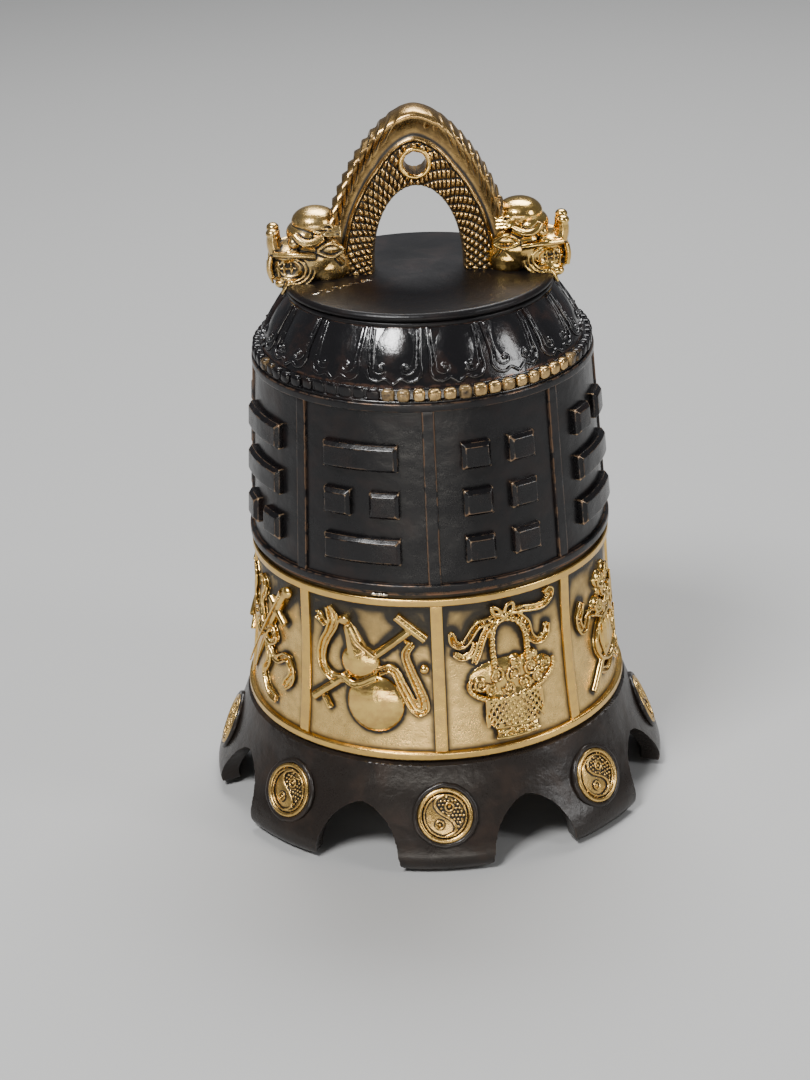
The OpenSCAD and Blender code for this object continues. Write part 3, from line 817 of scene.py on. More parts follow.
def basketEmblem():
    parts = [pad((0.5, 0, -1.6), (9.6, 0.95, 4.3), -4), pad((0.4, 0, -8.4), (6.4, 1.35, 5.6))]
    brim = [(0.5 + 9.7 * math.cos(a), -1.6 + 4.4 * math.sin(a) + 0.07 * 9.7 * math.cos(a))
            for a in np.linspace(math.pi * 0.94, math.pi * 2.06, 21)]
    parts.append(strand(brim, 0.6, rise=0.75))
    for x, z in throughPoints(brim, 26)[:, [0, 2]]:          # twist of the brim
        parts.append(pad((x, -1.2, z), (0.42, 0.3, 0.5), 30, rings=6))
    for i in range(-6, 7):                                   # crossed cane
        for lean in (-1, 1):
            top, foot = i * 1.35, i * 1.35 + lean * 5
            stops = ((top, -5.4), ((top + foot) / 2, -8.4), (foot, -11.4))
            ends = [(max(-6.1, min(6.3, x)) + 0.2, z) for x, z in stops]
            parts.append(strand(ends, 0.24, rise=1.25))
    for z, half in ((-11.9, 4.9), (-14.2, 4.8)):
        parts.append(strand([(0.6 - half, z + 0.2), (0.6, z), (0.6 + half, z + 0.3)], 0.5, rise=0.9))
    parts.append(rod((-3.9, -13.1), (5.1, -12.9), 1.0, 0.1))
    for i in range(8):
        parts.append(pad((-3.4 + i * 1.15, -1.05, -13 + 0.25 * (-1) ** i), (0.5, 0.35, 0.4), rings=6))
    flowers = [(-6.9, -1.9, 1.7), (-4.5, -3.5, 1.5), (-3.4, -0.6, 1.9), (-0.8, -3.7, 1.6),
               (0.5, -0.9, 2.0), (2.7, -3.2, 1.7), (4.4, -0.2, 2.0), (6, -2.8, 1.5), (7.8, -0.6, 1.6),
               (1.2, 1.6, 1.4), (5.2, 2.2, 1.1)]
    for i, (x, z, size) in enumerate(flowers):
        parts += [pad((x, 0, z), (size * 1.05, 1.15, size * 1.05)),
                  spiral(x, z, size * 0.9, thick=0.32, hand=1 if i % 2 else -1, begin=i)]
    arch = [(-3.6, 0.6), (-3.9, 6.2), (-3.4, 9.8), (-1.1, 11.4), (2, 10.3), (3.8, 6.8), (4, 1.2)]
    parts.append(strand(arch, 0.7, rise=0.6))
    for x, z in throughPoints(arch, 20)[:, [0, 2]]:          # twist of the rope handle
        parts.append(pad((x, -1.15, z), (0.78, 0.38, 0.34), 35, rings=6))
    knot = (-1.1, 12.2)
    for loop in ([(-2.4, 13.9), (-3.9, 14.4), (-3.2, 12.9)], [(-0.6, 14.3), (1, 14.6), (0.7, 13)]):
        parts.append(strand([knot] + loop + [knot], 0.42, rise=1.1))
    parts.append(pad((knot[0], -1, knot[1]), (0.85, 0.8, 0.85)))
    parts += doubleLine([(-1.6, 12), (-3.8, 11.6), (-6.8, 10.8), (-8.6, 8.6), (-10, 7), (-11.8, 7.4),
                         (-12.5, 9.8)], 1.2, 0.3, flare=0.3)
    parts += doubleLine([(-3, 11), (-4.9, 9.6), (-6.2, 7), (-6.9, 4.8), (-8, 2.6)], 1.1, 0.3, flare=0.2)
    parts += doubleLine([(-7.4, 7.2), (-8.2, 5.2), (-10.2, 4.2), (-12, 5.2)], 1.0, 0.3, flare=0.3)
    parts += doubleLine([(-0.4, 11.9), (2, 11.4), (4.2, 9.2), (5, 6.2), (6.6, 4.6), (8.7, 5), (9.6, 7.6)],
                        1.2, 0.3, flare=0.3)
    parts += doubleLine([(0.4, 12.3), (2.8, 12.6), (5.6, 12.2), (8.4, 12), (10.4, 13), (10.8, 14.6),
                         (9, 14.5)], 1.1, 0.3, flare=0.3)
    return parts


def swordEmblem():
    parts = [strand([(8.6, 12.6), (3, 5), (-3, -3), (-8, -9.4), (-9.6, -11.6)], 1.7, 0.35, rise=0.2),
             strand([(8.2, 12), (3, 5), (-3, -3), (-8, -9.4)], 0.3, 0.2, rise=1.9),
             rod((3.4, 10.2), (9, 5.8), 0.9, 0.8), rod((7.2, 10.2), (9.6, 13), 1.0, 0.8),
             pad((10, -0.7, 13.4), (1.3, 1, 1.3))]
    parts += bow(0, 0.5, 3.0)
    parts += doubleLine([(0, 0), (-4.5, 3.5), (-8.8, 2.2), (-10.8, 5.6), (-8.6, 9.6), (-10.6, 12.4)], 1.4)
    parts += doubleLine([(0, 0), (4.6, -3.4), (9.2, -1.6), (10.9, -5.2), (8.2, -8.6)], 1.4)
    parts += doubleLine([(0, -0.5), (1.4, -5), (-0.8, -8.6), (1.8, -11.6), (5.4, -12.6)], 1.4)
    parts += doubleLine([(-1, 2), (-2.6, 7), (-0.2, 10.4), (-2.8, 12.8)], 1.1)
    return parts


def fanEmblem():
    parts = [pad((0.5, 0, -3.4), (6.2, 1.5, 5.4), 20), rod((-3, -7.5), (-8.4, -13), 0.8)]
    rim = [(0.5 + 6.2 * math.cos(a) * 0.98, -3.4 + 5.2 * math.sin(a)) for a in np.linspace(0, math.tau, 17)]
    parts.append(strand(rim, 0.45, rise=1.0))
    for i in range(-3, 4):
        parts.append(strand([(-2.6, -7.2), (i * 1.6 + 0.6, -3), (i * 2.0 + 1.4, 0.4)], 0.24, rise=1.3))
    for i, (x, z) in enumerate([(-3.6, 5), (0, 7.2), (3.8, 5.4), (-1.6, 10), (2.4, 10.6)]):
        parts += [pad((x, 0, z), (2.2, 1.2, 1.9)), spiral(x, z, 1.8, hand=1 if i % 2 else -1, begin=i)]
    parts += bow(-0.4, 3, 2.2)
    parts += doubleLine([(3, 2.6), (7.6, 3.8), (9.4, 0.4), (11.4, 2.2), (10.8, 6.2)], 1.3)
    parts += doubleLine([(-3, 2.6), (-7.4, 4.4), (-9.6, 1.4), (-11.4, 4.2), (-9.8, 8)], 1.3)
    parts += doubleLine([(-5, -9.6), (-1, -10.8), (3.2, -9.4), (7.2, -11.6), (10.6, -9.4)], 1.2)
    return parts


def lotusEmblem():
    parts = [pad((0, 0, 2.4), (2.6, 1.7, 4.6)), strand([(0, -2), (-1.4, -7), (1.2, -13)], 0.75, rise=0.5)]
    for side in (-1, 1):
        for lean, size in ((24, 4.6), (52, 5), (80, 4.8)):
            a = math.radians(lean)
            x, z = side * 3.6 * math.sin(a), 1.4 + 3.4 * math.cos(a)
            parts.append(pad((x, 0, z), (1.7, 1.35, size * 0.8), -side * lean))
            parts.append(strand([(0, -1.6), (x, z), (side * 8 * math.sin(a), 1 + 8 * math.cos(a))], 0.28,
                                rise=1.3))
    parts.append(pad((5.6, 0, -8.2), (4.4, 1.1, 2.3), 18))
    parts += doubleLine([(0, -6), (-5, -5), (-8.8, -8.4), (-11, -5.6), (-9.4, -1.4)], 1.3)
    parts += doubleLine([(0, -7), (4.6, -4), (9, -5), (11.2, -1.2), (9.2, 3.4)], 1.3)
    parts += doubleLine([(-2, 6), (-6, 9.6), (-9.8, 8.6), (-10.6, 12.4)], 1.1)
    parts += doubleLine([(2, 6), (6, 9.6), (9.8, 8.6), (10.6, 12.4)], 1.1)
    return parts


def fluteEmblem():
    parts = [rod((-10.4, -10.6), (9.6, 12), 1.5, 0.3)]
    for i in range(6):
        t = 0.24 + i * 0.11
        parts.append(pad((-10.4 + 20 * t, -1.9, -10.6 + 22.6 * t), (0.62, 0.35, 0.62)))
    for t in (0.06, 0.94):
        parts.append(rod((-10.4 + 20 * t - 1.3, -10.6 + 22.6 * t + 1.2),
                         (-10.4 + 20 * t + 1.3, -10.6 + 22.6 * t - 1.2), 0.5, 1.3))
    parts += bow(1.5, 1, 2.6)
    parts += doubleLine([(2, 1), (6.6, -1.4), (10.6, 1.4), (9.6, 6)], 1.4)
    parts += doubleLine([(1, 1), (-4, 4.6), (-8.8, 3), (-11, 7.2), (-8.4, 11.6)], 1.4)
    parts += doubleLine([(1, 0), (2.4, -5), (7.4, -6.6), (6.4, -11), (10.6, -12.2)], 1.4)
    return parts


def clappersEmblem():
    parts = []
    for side in (-1, 1):
        parts += [pad((side * 3.4, 0, -2.2), (2.4, 1.5, 8.8), -side * 15),
                  strand([(side * 1.4, 6.4), (side * 3.6, -2), (side * 5.8, -10)], 0.35, rise=1.6)]
    parts += bow(0, 9.4, 2.6)
    for side in (-1, 1):
        parts += doubleLine([(0, 9), (side * 5.4, 6.4), (side * 8.4, 8.8), (side * 10.9, 5.6),
                             (side * 9, 1)], 1.3)
        parts += doubleLine([(side * 6, -4), (side * 9, -6.4), (side * 8, -9.6), (side * 11, -12)], 1.2)
    return parts


def fishDrumEmblem():
    parts = [rod((-6.4, -10), (5.4, 9.4), 2.4, 0), rod((-9.6, 6.6), (9.8, -5), 0.75, 1.8),
             rod((-6.8, 10.4), (9, -9), 0.7, 1.6)]
    for t in (0.05, 0.2, 0.8, 0.95):
        x, z = -6.4 + 11.8 * t, -10 + 19.4 * t
        parts.append(rod((x - 2.3, z + 1.4), (x + 2.3, z - 1.4), 0.4, 2.0))
    parts += [spiral(-10.2, 7.4, 1.3), spiral(-7.4, 11.4, 1.2)]
    parts += doubleLine([(5, 9), (8.6, 6.6), (9, 2.4), (11.2, 1), (10.8, -2.6)], 1.3)
    parts += doubleLine([(-6, -8), (-9.8, -6.4), (-9, -1.8), (-11.4, 1)], 1.3)
    parts += doubleLine([(-4, -10.4), (1, -12), (5.4, -9.8), (10.4, -12.2)], 1.3)
    return parts


emblems = [
    ("basket", basketEmblem), ("fan", fanEmblem), ("lotus", lotusEmblem), ("flute", fluteEmblem),
    ("clappers", clappersEmblem), ("fish_drum", fishDrumEmblem),
    ("sword", swordEmblem), ("gourd", gourdEmblem),
]


def makeEmblems():
    near = []
    for place, (name, draw) in enumerate(emblems):
        cast = fuse(draw(), name.replace("_d", "D") + "Relief", band["grain"], 1)
        cutBehind(cast, 0.35)
        p = getPoints(cast)
        p[:, 2] += band["middle"]
        setPoints(cast, p)
        wrapOn(cast, (place + 0.5) * panelStep, bandRadius, wrapRadius["band"])
        near.append(getPoints(cast)[::6])
        finishPiece(cast, finishes["goldRelief"], nodes=("emblem_" + name,), reach=2)
    return np.concatenate(near)


def makeBand(relief):
    a, b = level["bandFoot"], level["drumFoot"]
    outer = [(float(bandRadius(z)), z) for z in np.linspace(a, b, band["rows"])]
    shell = latheShell("bandWall", outer + [(x - wall, z) for x, z in reversed(outer)], band["turns"])
    tree = kdtree.KDTree(len(relief))
    for i, point in enumerate(relief):
        tree.insert(point, i)
    tree.balance()
    p = getPoints(shell)
    away = np.array([tree.find(point)[2] for point in p])
    turn = np.arctan2(p[:, 0], -p[:, 1]) / panelStep
    fromRib = np.abs(turn - np.round(turn)) * panelStep * wrapRadius["band"] - frameBar["width"] / 2
    h, rimTop = frameBar["rimHeight"], band["rimTop"]
    fromRim = np.minimum(rimTop - h - p[:, 2], p[:, 2] - a - h)
    hollow = 0.85 * np.exp(-away / band["grimeReach"])
    hollow = np.maximum(hollow, 0.6 * np.exp(-np.maximum(fromRib, 0) / 1.0))
    hollow = np.maximum(hollow, 0.6 * np.exp(-np.maximum(fromRim, 0) / 1.0))
    hollow = hollow + 0.42 * np.clip((p[:, 2] - 46) / 11, 0, 1)    # the ground is made darker towards the top of the band
    finishPiece(shell, finishes["goldGround"], nodes=("emblem_band",), hollow=hollow)
    makeRim("bandTopRim", rimTop - h, rimTop, radius["drumFoot"] + 0.6, finishes["goldRim"])
    makeRim("bandFootRim", a, a + h, radius["bandFoot"] + 0.9, finishes["goldRim"])
    makeRibs("bandRibs", a + h / 2, rimTop - h / 2, bandRadius, wrapRadius["band"], finishes["goldRim"])


makeBand(makeEmblems())
print("gold band and emblems done")

# skirt with its eight feet
skirt = {"notchHalf": 9.3, "spring": 1.5, "rise": 11.8, "toe": 3.6, "taper": 1.3, "grain": 0.42}


def skirtOut(z):
    top = level["bandFoot"] - 1
    line = [(2.8, 46.9), (3.1, 47.6), (3.7, 48.2), (4.7, 48.8), (6.3, radius["skirt"]), (8.2, 48.3),
            (11.5, 46.5), (15, 44.7),
            (19.5, 42.7), (top - 1, 41.5), (top, 41.1)]
    return smoothCurve(line, z)


def makeSkirt():
    top = level["bandFoot"]
    outer = [(float(skirtOut(z)), z) for z in np.linspace(benchFeet, top - 1, 44)]
    inner = [(float(skirtOut(z)) - 4.1, z) for z in np.linspace(top - 1.6, 5.6, 24)]
    neck = [(39.6, top - 0.5), (39.6, top), (radius["bandFoot"] - wall, top)]
    shell = latheShell("skirt", outer + neck + inner + [(44.4, benchFeet)])
    cutters = []
    half, spring, rise, toe = skirt["notchHalf"], skirt["spring"], skirt["rise"], skirt["toe"]
    arch = [(math.copysign(half * abs(math.cos(a)) ** skirt["taper"], math.cos(a)),
             spring + rise * math.sin(a))
            for a in np.linspace(0, math.pi, 33)]
    toes = [(half + toe, -1), (half + toe, 0), (half + toe * 0.6, 0.4), (half + toe * 0.28, 0.9)]
    shape = toes + arch + [(-x, z) for x, z in reversed(toes)]
    for i in range(panelCount):
        bpy.ops.object.select_all(action="DESELECT")
        bpy.ops.mesh.primitive_circle_add(vertices=len(shape), fill_type="NGON")
        cutter = bpy.context.object
        setPoints(cutter, [(x, -60, z + benchFeet) for x, z in shape])
        editAll()
        bpy.ops.mesh.extrude_region_move(TRANSFORM_OT_translate={"value": (0, 28, 0)})
        bpy.ops.object.mode_set(mode="OBJECT")
        faceOut(cutter)
        setPoints(cutter, turnedTo(getPoints(cutter), (i + 0.5) * panelStep))
        cutters.append(cutter)
    cutting = joinAll(cutters, "notches")
    useModifier(shell, "BOOLEAN", operation="DIFFERENCE", object=cutting, solver="EXACT")
    bpy.data.objects.remove(cutting)
    cast = fuse([shell], "skirt", skirt["grain"], 5)
    p = getPoints(cast)
    r = np.hypot(p[:, 0], p[:, 1])
    goal = skirtOut(p[:, 2])
    near = np.abs(r - goal) < 0.3                   # the outside goes back on its turned line
    scale = np.where(near & (p[:, 2] > benchFeet + 1), goal / r, 1.0)
    p[:, :2] *= scale[:, None]
    p[:, 2] = np.maximum(p[:, 2], benchFeet)
    setPoints(cast, p)
    finishPiece(cast, finishes["brownBlack"], nodes=("skirt",), reach=3)


makeSkirt()
print("skirt done")

medal = {"radius": 5.6, "disc": 4.3, "height": 14.4, "grain": 0.15, "collar": 6.15}


def makeMedals():
    tilt = math.atan2(7.9, 17.4)
    curve = [(0, 4.3), (-1.7, 3.4), (-2, 2.1), (-1, 0.7), (1, -0.7), (2, -2.1), (1.7, -3.4), (0, -4.3)]
    parts = [pad((0, 0.2, 0), (5.5, 0.75, 5.5)), strand(circleLine(medal["radius"] * 0.93), 0.5, rise=0.35),
             strand(circleLine(medal["disc"]), 0.2, rise=0.62), strand(curve, 0.3, rise=0.7)]
    for x, z in ((-1.2, -1.8), (0.9, 1.8)):
        eye = circleLine(0.85, 13, x, z)
        parts += [strand(eye, 0.22, rise=0.75), pad((x, -0.6, z), (0.35, 0.35, 0.35))]
    for i in range(-5, 6):                                   # punched field on one half
        for k in range(-5, 6):
            x, z = i * 0.75 + (k % 2) * 0.37, k * 0.75
            split = -2 * math.sin(z / medal["disc"] * math.pi) if abs(z) < medal["disc"] else 0
            if x > split + 0.5 and math.hypot(x, z) < 3.9 and math.hypot(x - 0.9, z - 1.8) > 1.2:
                parts.append(pad((x, -0.68, z), (0.27, 0.2, 0.27), rings=5))
    gold = fuse(parts, "medal", medal["grain"], 1)
    cutBehind(gold, 0.3)
    random.seed(11)
    edge = [(medal["collar"] * math.cos(a) * random.uniform(0.985, 1.02),
             medal["collar"] * math.sin(a) * random.uniform(0.985, 1.02))
            for a in np.linspace(0, math.tau, 33)[:-1]]
    collar = fuse([strand(edge + [edge[0]], 0.62, rise=0.05)], "medalCollar", 0.25, 2)
    cutBehind(collar, 0.5)
    golds, darks = [], []
    for i in range(panelCount):
        for single, group in ((gold, golds), (collar, darks)):
            one = copyOf(single)
            p = getPoints(one)
            y = p[:, 1] * math.cos(tilt) + p[:, 2] * math.sin(tilt)
            z = p[:, 2] * math.cos(tilt) - p[:, 1] * math.sin(tilt)
            out = float(skirtOut(medal["height"])) + 0.1
            setPoints(one, turnedTo(np.stack([p[:, 0], y - out, z + medal["height"]], 1), i * panelStep))
            group.append(one)
    for single in (gold, collar):
        bpy.data.objects.remove(single)
    finishPiece(joinAll(golds, "medals"), finishes["medalGold"], nodes=("medallions",),
                reach=2)
    finishPiece(joinAll(darks, "medalCollars"), finishes["brownBlack"], reach=2)


makeMedals()
print("medals done")

# handle: a scaled web, a hollow channel and a rolled outer ridge
handle = {
    "half": 20.5, "foot": 115.5, "lean": 1.6, "fullness": 0.58,
    "loopHalf": 8.9, "loopBend": 118, "loopTop": 133.9,
    "ridge": 3.0, "channel": 3.4, "webThick": 3.1,
    "section": [(0, 1.4), (0.35, 2.9), (0.9, 3.9), (1.6, 4.15), (2.3, 3.85), (3.4, 3.2), (4.6, 2.8),
                (5.6, 2.85), (6.1, 3.35), (6.5, 3.3), (6.8, 2.8), (7.4, 3.1), (20, 3.1)],
    "along": 420, "across": 76, "cell": 1.75, "scaleRise": 0.7, "tooth": 2.7, "toothDepth": 0.8,
    "holeHeight": 138.9, "holeRadius": 2.3,
    "marks": [(2.6, 146.6), (4.4, 146.1), (8.6, 143.0), (11.4, 139.6), (14.2, 135.2), (16.4, 130.8)],
}


def evenLine(points, count):
    run = np.concatenate([[0], np.cumsum(np.hypot(*np.diff(points, axis=0).T))])
    even = np.linspace(0, run[-1], count)
    return np.stack([np.interp(even, run, points[:, 0]), np.interp(even, run, points[:, 1])], 1), even


def handleThickness(along, offset, side):
    # half thickness of the handle; side is -1 on the left leg and 1 on the right
    webStart = handle["ridge"] + handle["channel"]
    offset = offset * (1 + 0.28 * np.clip((np.abs(along) - 12) / 14, 0, 1))       # slimmer down the legs
    body = smoothCurve(handle["section"], offset)
    web = np.clip((offset - webStart - 0.3) / 0.4, 0, 1)
    lean = math.radians(34)
    u = along * math.cos(lean) + offset * math.sin(lean)
    v = offset * math.cos(lean) - along * math.sin(lean)
    rough = 1 + 0.35 * np.sin(along * 1.7 + 2 * np.sin(offset * 1.1)) * np.clip(-side, 0, 1)
    cell = handle["cell"]
    lumps = (np.abs(np.sin(math.pi * u / cell)) * np.abs(np.sin(math.pi * v / cell))) ** 0.55
    body = body * (1 - web) + web * (handle["webThick"] + handle["scaleRise"] * rough * (lumps - 0.45))
    phase = ((along + side * 1.3 * offset) / handle["tooth"]) % 1
    tooth = np.where(phase < 0.75, phase / 0.75, (1 - phase) / 0.25)
    strength = np.where(side < 0, 1.0, 0.45) * np.clip(np.abs(along) / 7 - 0.4, 0, 1)
    fade = np.clip((3.8 - offset) / 1.6, 0, 1)
    return body - strength * 0.75 * (1 - tooth) * fade, tooth, strength


def makeHandle():
    angles = np.linspace(0, math.pi, 1200)
    a = np.minimum(angles, math.pi - angles)
    x = handle["half"] * np.maximum(0, 1 - np.sin(a) ** handle["lean"]) ** handle["fullness"]
    outerLine = np.stack([np.where(angles < math.pi / 2, x, -x), handle["foot"]
                          + (level["archTop"] - 0.05 - handle["foot"]) * np.sin(angles)], 1)
    bend = np.linspace(0, math.pi, 400)
    rise = handle["loopTop"] - handle["loopBend"]
    loop = np.stack([handle["loopHalf"] * np.cos(bend), handle["loopBend"] + rise * np.sin(bend)], 1)
    legs = np.array([[handle["loopHalf"], handle["foot"]]])
    loop = np.concatenate([legs, loop, legs * [[-1, 1]]])
    outerLine, run = evenLine(outerLine, handle["along"])
    loop, _ = evenLine(loop, handle["along"])
    run = run - run[-1] / 2
    n, m = handle["along"], handle["across"]
    share = 0.5 - 0.5 * np.cos(np.linspace(0, math.pi, m))
    share = 0.45 * share + 0.55 * np.linspace(0, 1, m)
    gap = loop - outerLine
    length = np.hypot(*gap.T)
    offset = share[None, :] * length[:, None]
    along = np.repeat(run[:, None], m, 1)
    side = np.where(along > 0, -1, 1)                     # the line starts on the right
    thick, tooth, strength = handleThickness(along, offset, side)
    endRound = np.clip((length[:, None] - offset) / 0.8, 0, 1)
    thick = thick * np.sqrt(np.clip(1 - (1 - endRound) ** 2, 0.0, 1)) + 0.0
    lift = strength * handle["toothDepth"] * (tooth - 1) * np.clip(1 - offset / handle["ridge"], 0, 1)
    way = gap / length[:, None]
    flatX = outerLine[:, None, 0] + way[:, None, 0] * (offset - lift)
    flatZ = outerLine[:, None, 1] + way[:, None, 1] * (offset - lift)
    front = np.stack([flatX, -thick, flatZ], 2)
    back = np.stack([flatX, thick, flatZ], 2)
    sheet = np.concatenate([front, back[:, ::-1]], 1)      # one closed loop round each section
    k = 2 * m
    points = sheet.reshape(-1, 3)
    faces = []
    for i in range(n - 1):
        for j in range(k):
            j2 = (j + 1) % k
            faces.append((i * k + j, i * k + j2, (i + 1) * k + j2, (i + 1) * k + j))
    faces.append(tuple(range(k)))
    faces.append(tuple((n - 1) * k + j for j in reversed(range(k))))
    mesh = bpy.data.meshes.new("handleArch")
    mesh.from_pydata(points.tolist(), [], faces)
    arch = bpy.data.objects.new("handleArch", mesh)
    bpy.context.scene.collection.objects.link(arch)
    faceOut(arch)
    bpy.ops.object.select_all(action="DESELECT")
    bpy.ops.mesh.primitive_cylinder_add(vertices=64, radius=handle["holeRadius"], depth=20,
                                        location=(0, 0, handle["holeHeight"]), rotation=(math.pi / 2, 0, 0))
    drill = bpy.context.object
    fixPlace(drill)
    useModifier(arch, "BOOLEAN", operation="DIFFERENCE", object=drill, solver="EXACT")
    bpy.data.objects.remove(drill)
    finishPiece(arch, finishes["goldHandle"], nodes=("handle_arch",), reach=1, angle=50)


def makeHoleRing():
    parts = []
    for y in (-handle["webThick"] - 0.05, handle["webThick"] + 0.05):
        ring = circleLine(2.85, z=handle["holeHeight"])
        parts.append(strand([(x, y, z) for x, z in ring], 0.5))
    ring = fuse(parts, "holeRing", 0.18, 2)
    finishPiece(ring, finishes["goldRim"], reach=2)


def makeMarks():
    # short curls and ticks cut on the ridge, right of the top
    parts = []
    for x, z in handle["marks"]:
        curl = [(x + 0.5 * math.cos(t), -3.75, z + 0.75 * math.sin(t)) for t in np.linspace(0.6, 5.2, 9)]
        parts.append(strand(curl, 0.22))
    marks = joinAll(parts, "ridgeMarks")
    finishPiece(marks, finishes["goldHandle"], reach=1)


makeHandle()
makeHoleRing()
makeMarks()
print("handle done")

# dragon's head, facing +X, modelled once and mirrored
head = {"grain": 0.2, "breadth": 1.18, "mouthX": 26.0, "mouthZ": 118.8, "mouthHalf": 3.3, "mouthRise": 2.5}


def headSide(s):
    y = -s                                            # s is 1 for the front side
    parts = [
        pad((17.6, y * 4.6, 123), (2.7, 0.8, 1.25)),                               # ear
        strand([(15, y * 4.6, 122.6), (17.4, y * 5.3, 124.2), (20.2, y * 5, 122.8)], 0.35),
        strand([(15, y * 4.8, 122.2), (17.4, y * 5.4, 121.4), (20.2, y * 5, 122.4)], 0.35),
        strand([(19, y * 4.2, 125), (21.6, y * 5.2, 124.2), (23.6, y * 4.9, 124.9), (24.6, y * 4.2, 126)],
               1.0, 0.7),
        pad((24.8, y * 3.6, 124.1), (1.3, 1.3, 1.3)),
        strand([(20.6, y * 4.8, 121.5), (25, y * 4.9, 122), (29, y * 3.4, 121.8)], 0.75, 0.6),
        strand([(28.4, y * 1.6, 121.2), (29.1, y * 1.6, 123.4), (29.0, y * 1.7, 125.2)], 1.65, 1.25),
        pad((29.2, y * 1.8, 125.6), (1.3, 1.2, 1.0)),
        strand([(29.8, y * 2.8, 116.8), (30.1, y * 2.9, 119), (29.7, y * 2.8, 121.2)], 0.6, 0.6),
        pad((25.2, y * 3.6, 115.9), (1.7, 1.2, 1.0)), pad((27.9, y * 3.1, 115.6), (1.3, 1.0, 0.95)),
        strand([(26.2, y * 3.9, 116), (27.2, y * 4.1, 114.8), (27.8, y * 4, 113.6)], 0.7, 0.3),
        strand([(15.2, y * 3.9, 119.5), (16.2, y * 4.6, 121), (16.8, y * 4.7, 122.2)], 0.55, 0.35),
    ]
    for i in range(4):                                # hair lines under the knot
        z = 125.1 + i * 0.62
        parts.append(strand([(15.4, y * (3.9 - i * 0.25), z), (18, y * (4.4 - i * 0.3), z + 0.35),
                             (20.9, y * (4.3 - i * 0.3), z + 0.5)], 0.24))
    for reach in (1.0, 1.28, 1.56):                   # ridges round the corner of the mouth
        arc = [(head["mouthX"] + head["mouthHalf"] * reach * math.cos(t), y * (4.75 - 0.12 * reach),
                head["mouthZ"] + head["mouthRise"] * reach * math.sin(t)) for t in np.linspace(1.5, 4.5, 11)]
        parts.append(strand(arc, 0.32, 0.26))
    return parts


def makeHead():
    parts = [
        pad((20.4, 0, 120.6), (6.4, 5.1, 6.0)), pad((18.2, 0, 118.6), (5.2, 4.8, 4.8)),
        pad((20.6, 0, 127.2), (4.7, 4.2, 3.0)), pad((22.6, 0, 125.0), (3.9, 4.5, 2.6)),
        pad((25.6, 0, 121.2), (4.6, 4.4, 1.9)), pad((25.2, 0, 118.9), (5.0, 4.4, 4.1)),
        pad((25.6, 0, 116.4), (4.6, 4.1, 1.7)),
    ]
    for s in (1, -1):
        parts += headSide(s)
    rough = fuse(parts, "dragonHead", head["grain"], 1)
    for s in (1, -1):
        hollow = pad((head["mouthX"] + 0.5, -s * 4.9, head["mouthZ"]),
                     (head["mouthHalf"] - 0.5, 1.7, head["mouthRise"] - 0.4), rings=20)
        useModifier(rough, "BOOLEAN", operation="DIFFERENCE", object=hollow, solver="EXACT")
        bpy.data.objects.remove(hollow)
    teeth = []
    for s in (1, -1):
        y = -s * 3.35
        for x in (24.2, 25.6, 27.0, 28.2):
            teeth.append(strand([(x, y, 117.2), (x + 0.1, y - s * 0.15, 118.8), (x, y, 120.4)], 0.28, 0.2))
        teeth.append(strand([(23.4, y, 118.9), (26, y - s * 0.1, 118.7), (28.8, y, 118.9)], 0.22))
    return fuse([rough] + teeth, "dragonHead", head["grain"], 1)


def makeHeads():
    single = makeHead()
    for name, way, finish in (("dragonRight", 1, "goldHead"), ("dragonLeft", -1, "goldHeadDark")):
        one = copyOf(single)
        p = getPoints(one)
        p[:, 0] *= way
        p[:, 1] *= head["breadth"]
        overCrown = np.hypot(p[:, 0], p[:, 1]) < radius["crown"]
        p[:, 2] = np.maximum(p[:, 2], np.where(overCrown, level["crown"] - 0.2, 0))
        setPoints(one, p)
        if way < 0:
            faceOut(one)
            tooth = strand([(-30, -2.2, 120), (-30.3, -2.4, 117.6), (-29.6, -2.2, 115.2)], 0.75, 0.25)
            one = joinAll([one, fuse([tooth], "fang", 0.2)], "dragonLeft")
        one.name = name
        one.data.name = name
        node = "dragon_right" if way > 0 else "dragon_left"
        finishPiece(one, finishes[finish], nodes=(node,), reach=3)
    bpy.data.objects.remove(single)


makeHeads()
print("heads done")


def makeSolder():
    random.seed(5)
    parts = []
    for _ in range(34):                               # rough seam in front of the left foot
        t = random.random()
        x, y = -10 - 11.5 * t, -6.6 - 5.4 * t
        place = (x + random.uniform(-0.5, 0.5), y + random.uniform(-0.9, 0.9), level["crown"] + 0.5 - 0.6 * t)
        size = (random.uniform(0.3, 0.95), random.uniform(0.25, 0.55), random.uniform(0.2, 0.45))
        parts.append(pad(place, size, rings=6))
    seam = fuse(parts, "footSolder", 0.16, 1)
    finishPiece(seam, finishes["solder"], reach=1)
    a = math.radians(-17)
    r = radius["drumFoot"] + 0.1
    drops = [pad((r * math.sin(a + k), -r * math.cos(a + k), level["drumFoot"] + 0.1), (0.9, 0.5, 0.4),
                 rings=6)
             for k in (-0.03, 0, 0.025)]
    finishPiece(fuse(drops, "grooveSolder", 0.16, 1), finishes["solder"], reach=1)


makeSolder()
print("solder done")

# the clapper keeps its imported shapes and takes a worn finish
for nodeName in ("clapper_staple", "clapper_rod", "clapper_ball"):
    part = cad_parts[nodeName]
    part.data.materials.clear()
    part.data.materials.append(finishes["plainBrass"])

# floor, light and camera
studio = {"camera": (0.0, -0.4537, 0.25995), "turn": math.radians(0.8), "pan": -0.012, "tilt": 0.428,
          "roll": -0.047, "lens": 77.8}


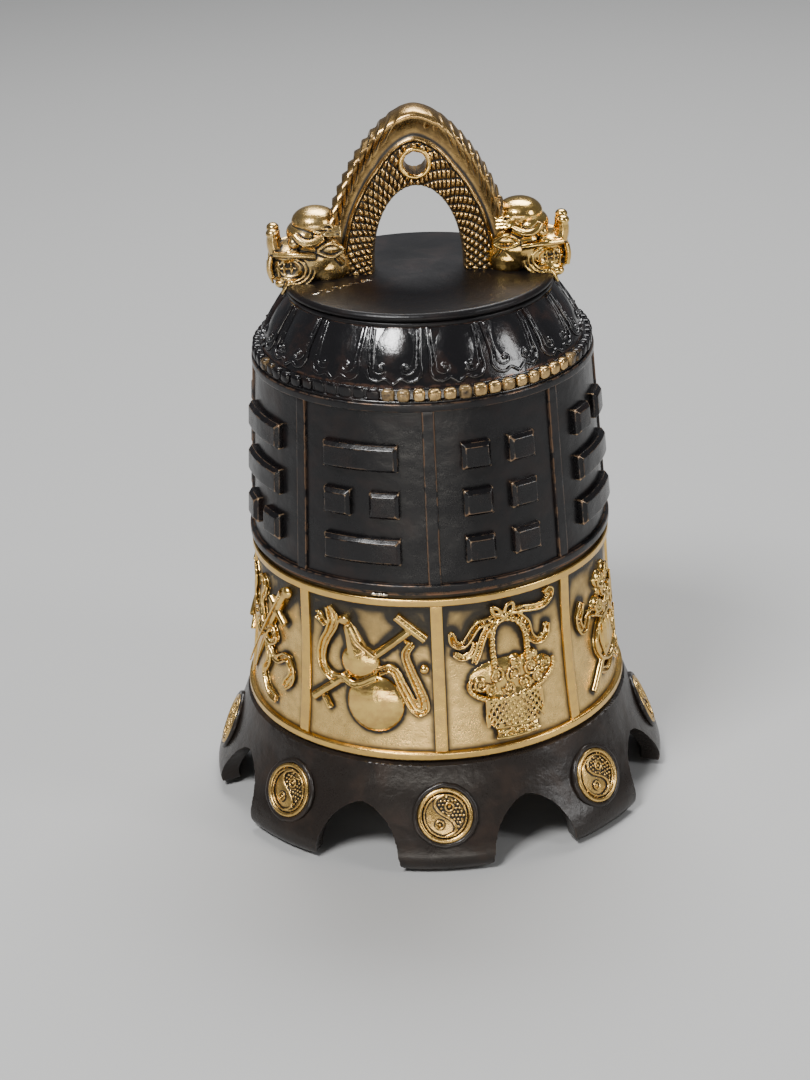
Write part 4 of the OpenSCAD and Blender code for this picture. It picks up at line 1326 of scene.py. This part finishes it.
def makeFloor():
    bpy.ops.object.select_all(action="DESELECT")
    bpy.ops.mesh.primitive_plane_add(size=6, location=(0, 0, 0))
    floor = bpy.context.object
    floor.name = "floor"
    material = bpy.data.materials.new("paleFloor")
    material.use_nodes = True
    shader = material.node_tree.nodes["Principled BSDF"]
    shader.inputs["Base Color"].default_value = (0.40, 0.40, 0.395, 1)
    shader.inputs["Roughness"].default_value = 0.6
    floor.data.materials.append(material)


def softLight(name, place, power, size, colour=(1, 1, 1)):
    light = bpy.data.lights.new(name, "AREA")
    light.energy = power
    light.shape = "RECTANGLE"
    light.size, light.size_y = size
    light.color = colour
    lamp = bpy.data.objects.new(name, light)
    bpy.context.scene.collection.objects.link(lamp)
    lamp.location = place
    aim = Vector((0, 0, 0.08)) - Vector(place)
    lamp.rotation_euler = aim.to_track_quat("-Z", "Y").to_euler()


def makeStudio():
    world = bpy.data.worlds.new("studio")
    bpy.context.scene.world = world
    world.use_nodes = True
    world.node_tree.nodes["Background"].inputs["Color"].default_value = (0.9, 0.93, 1.0, 1)
    world.node_tree.nodes["Background"].inputs["Strength"].default_value = 0.16
    softLight("key", (-0.32, -0.42, 0.8), 10, (0.28, 0.2))
    softLight("fill", (0.75, -0.35, 0.45), 3.2, (0.2, 0.5))
    softLight("top", (0.1, 0.5, 0.9), 12, (0.7, 0.4))
    softLight("front", (-0.1, -0.95, 0.03), 4.2, (0.9, 0.16), (1.0, 0.95, 0.86))


def makeCamera():
    pan, tilt, roll, turn = studio["pan"], studio["tilt"], studio["roll"], studio["turn"]
    ahead = Vector((math.sin(pan) * math.cos(tilt), math.cos(pan) * math.cos(tilt), -math.sin(tilt)))
    right = Vector((math.cos(pan), -math.sin(pan), 0))
    up = right.cross(ahead)
    rightRolled = right * math.cos(roll) + up * math.sin(roll)
    upRolled = up * math.cos(roll) - right * math.sin(roll)
    spin = Matrix.Rotation(-turn, 3, "Z")
    axes = [spin @ v for v in (rightRolled, upRolled, -ahead)]
    data = bpy.data.cameras.new("camera")
    data.sensor_fit = "VERTICAL"
    data.sensor_height = 36
    data.lens = studio["lens"]
    camera = bpy.data.objects.new("camera", data)
    bpy.context.scene.collection.objects.link(camera)
    place = spin @ Vector(studio["camera"])
    turned = Matrix((axes[0], axes[1], axes[2])).transposed().to_4x4()
    camera.matrix_world = Matrix.Translation(place) @ turned
    bpy.context.scene.camera = camera


makeFloor()
makeStudio()
makeCamera()
print("studio done")
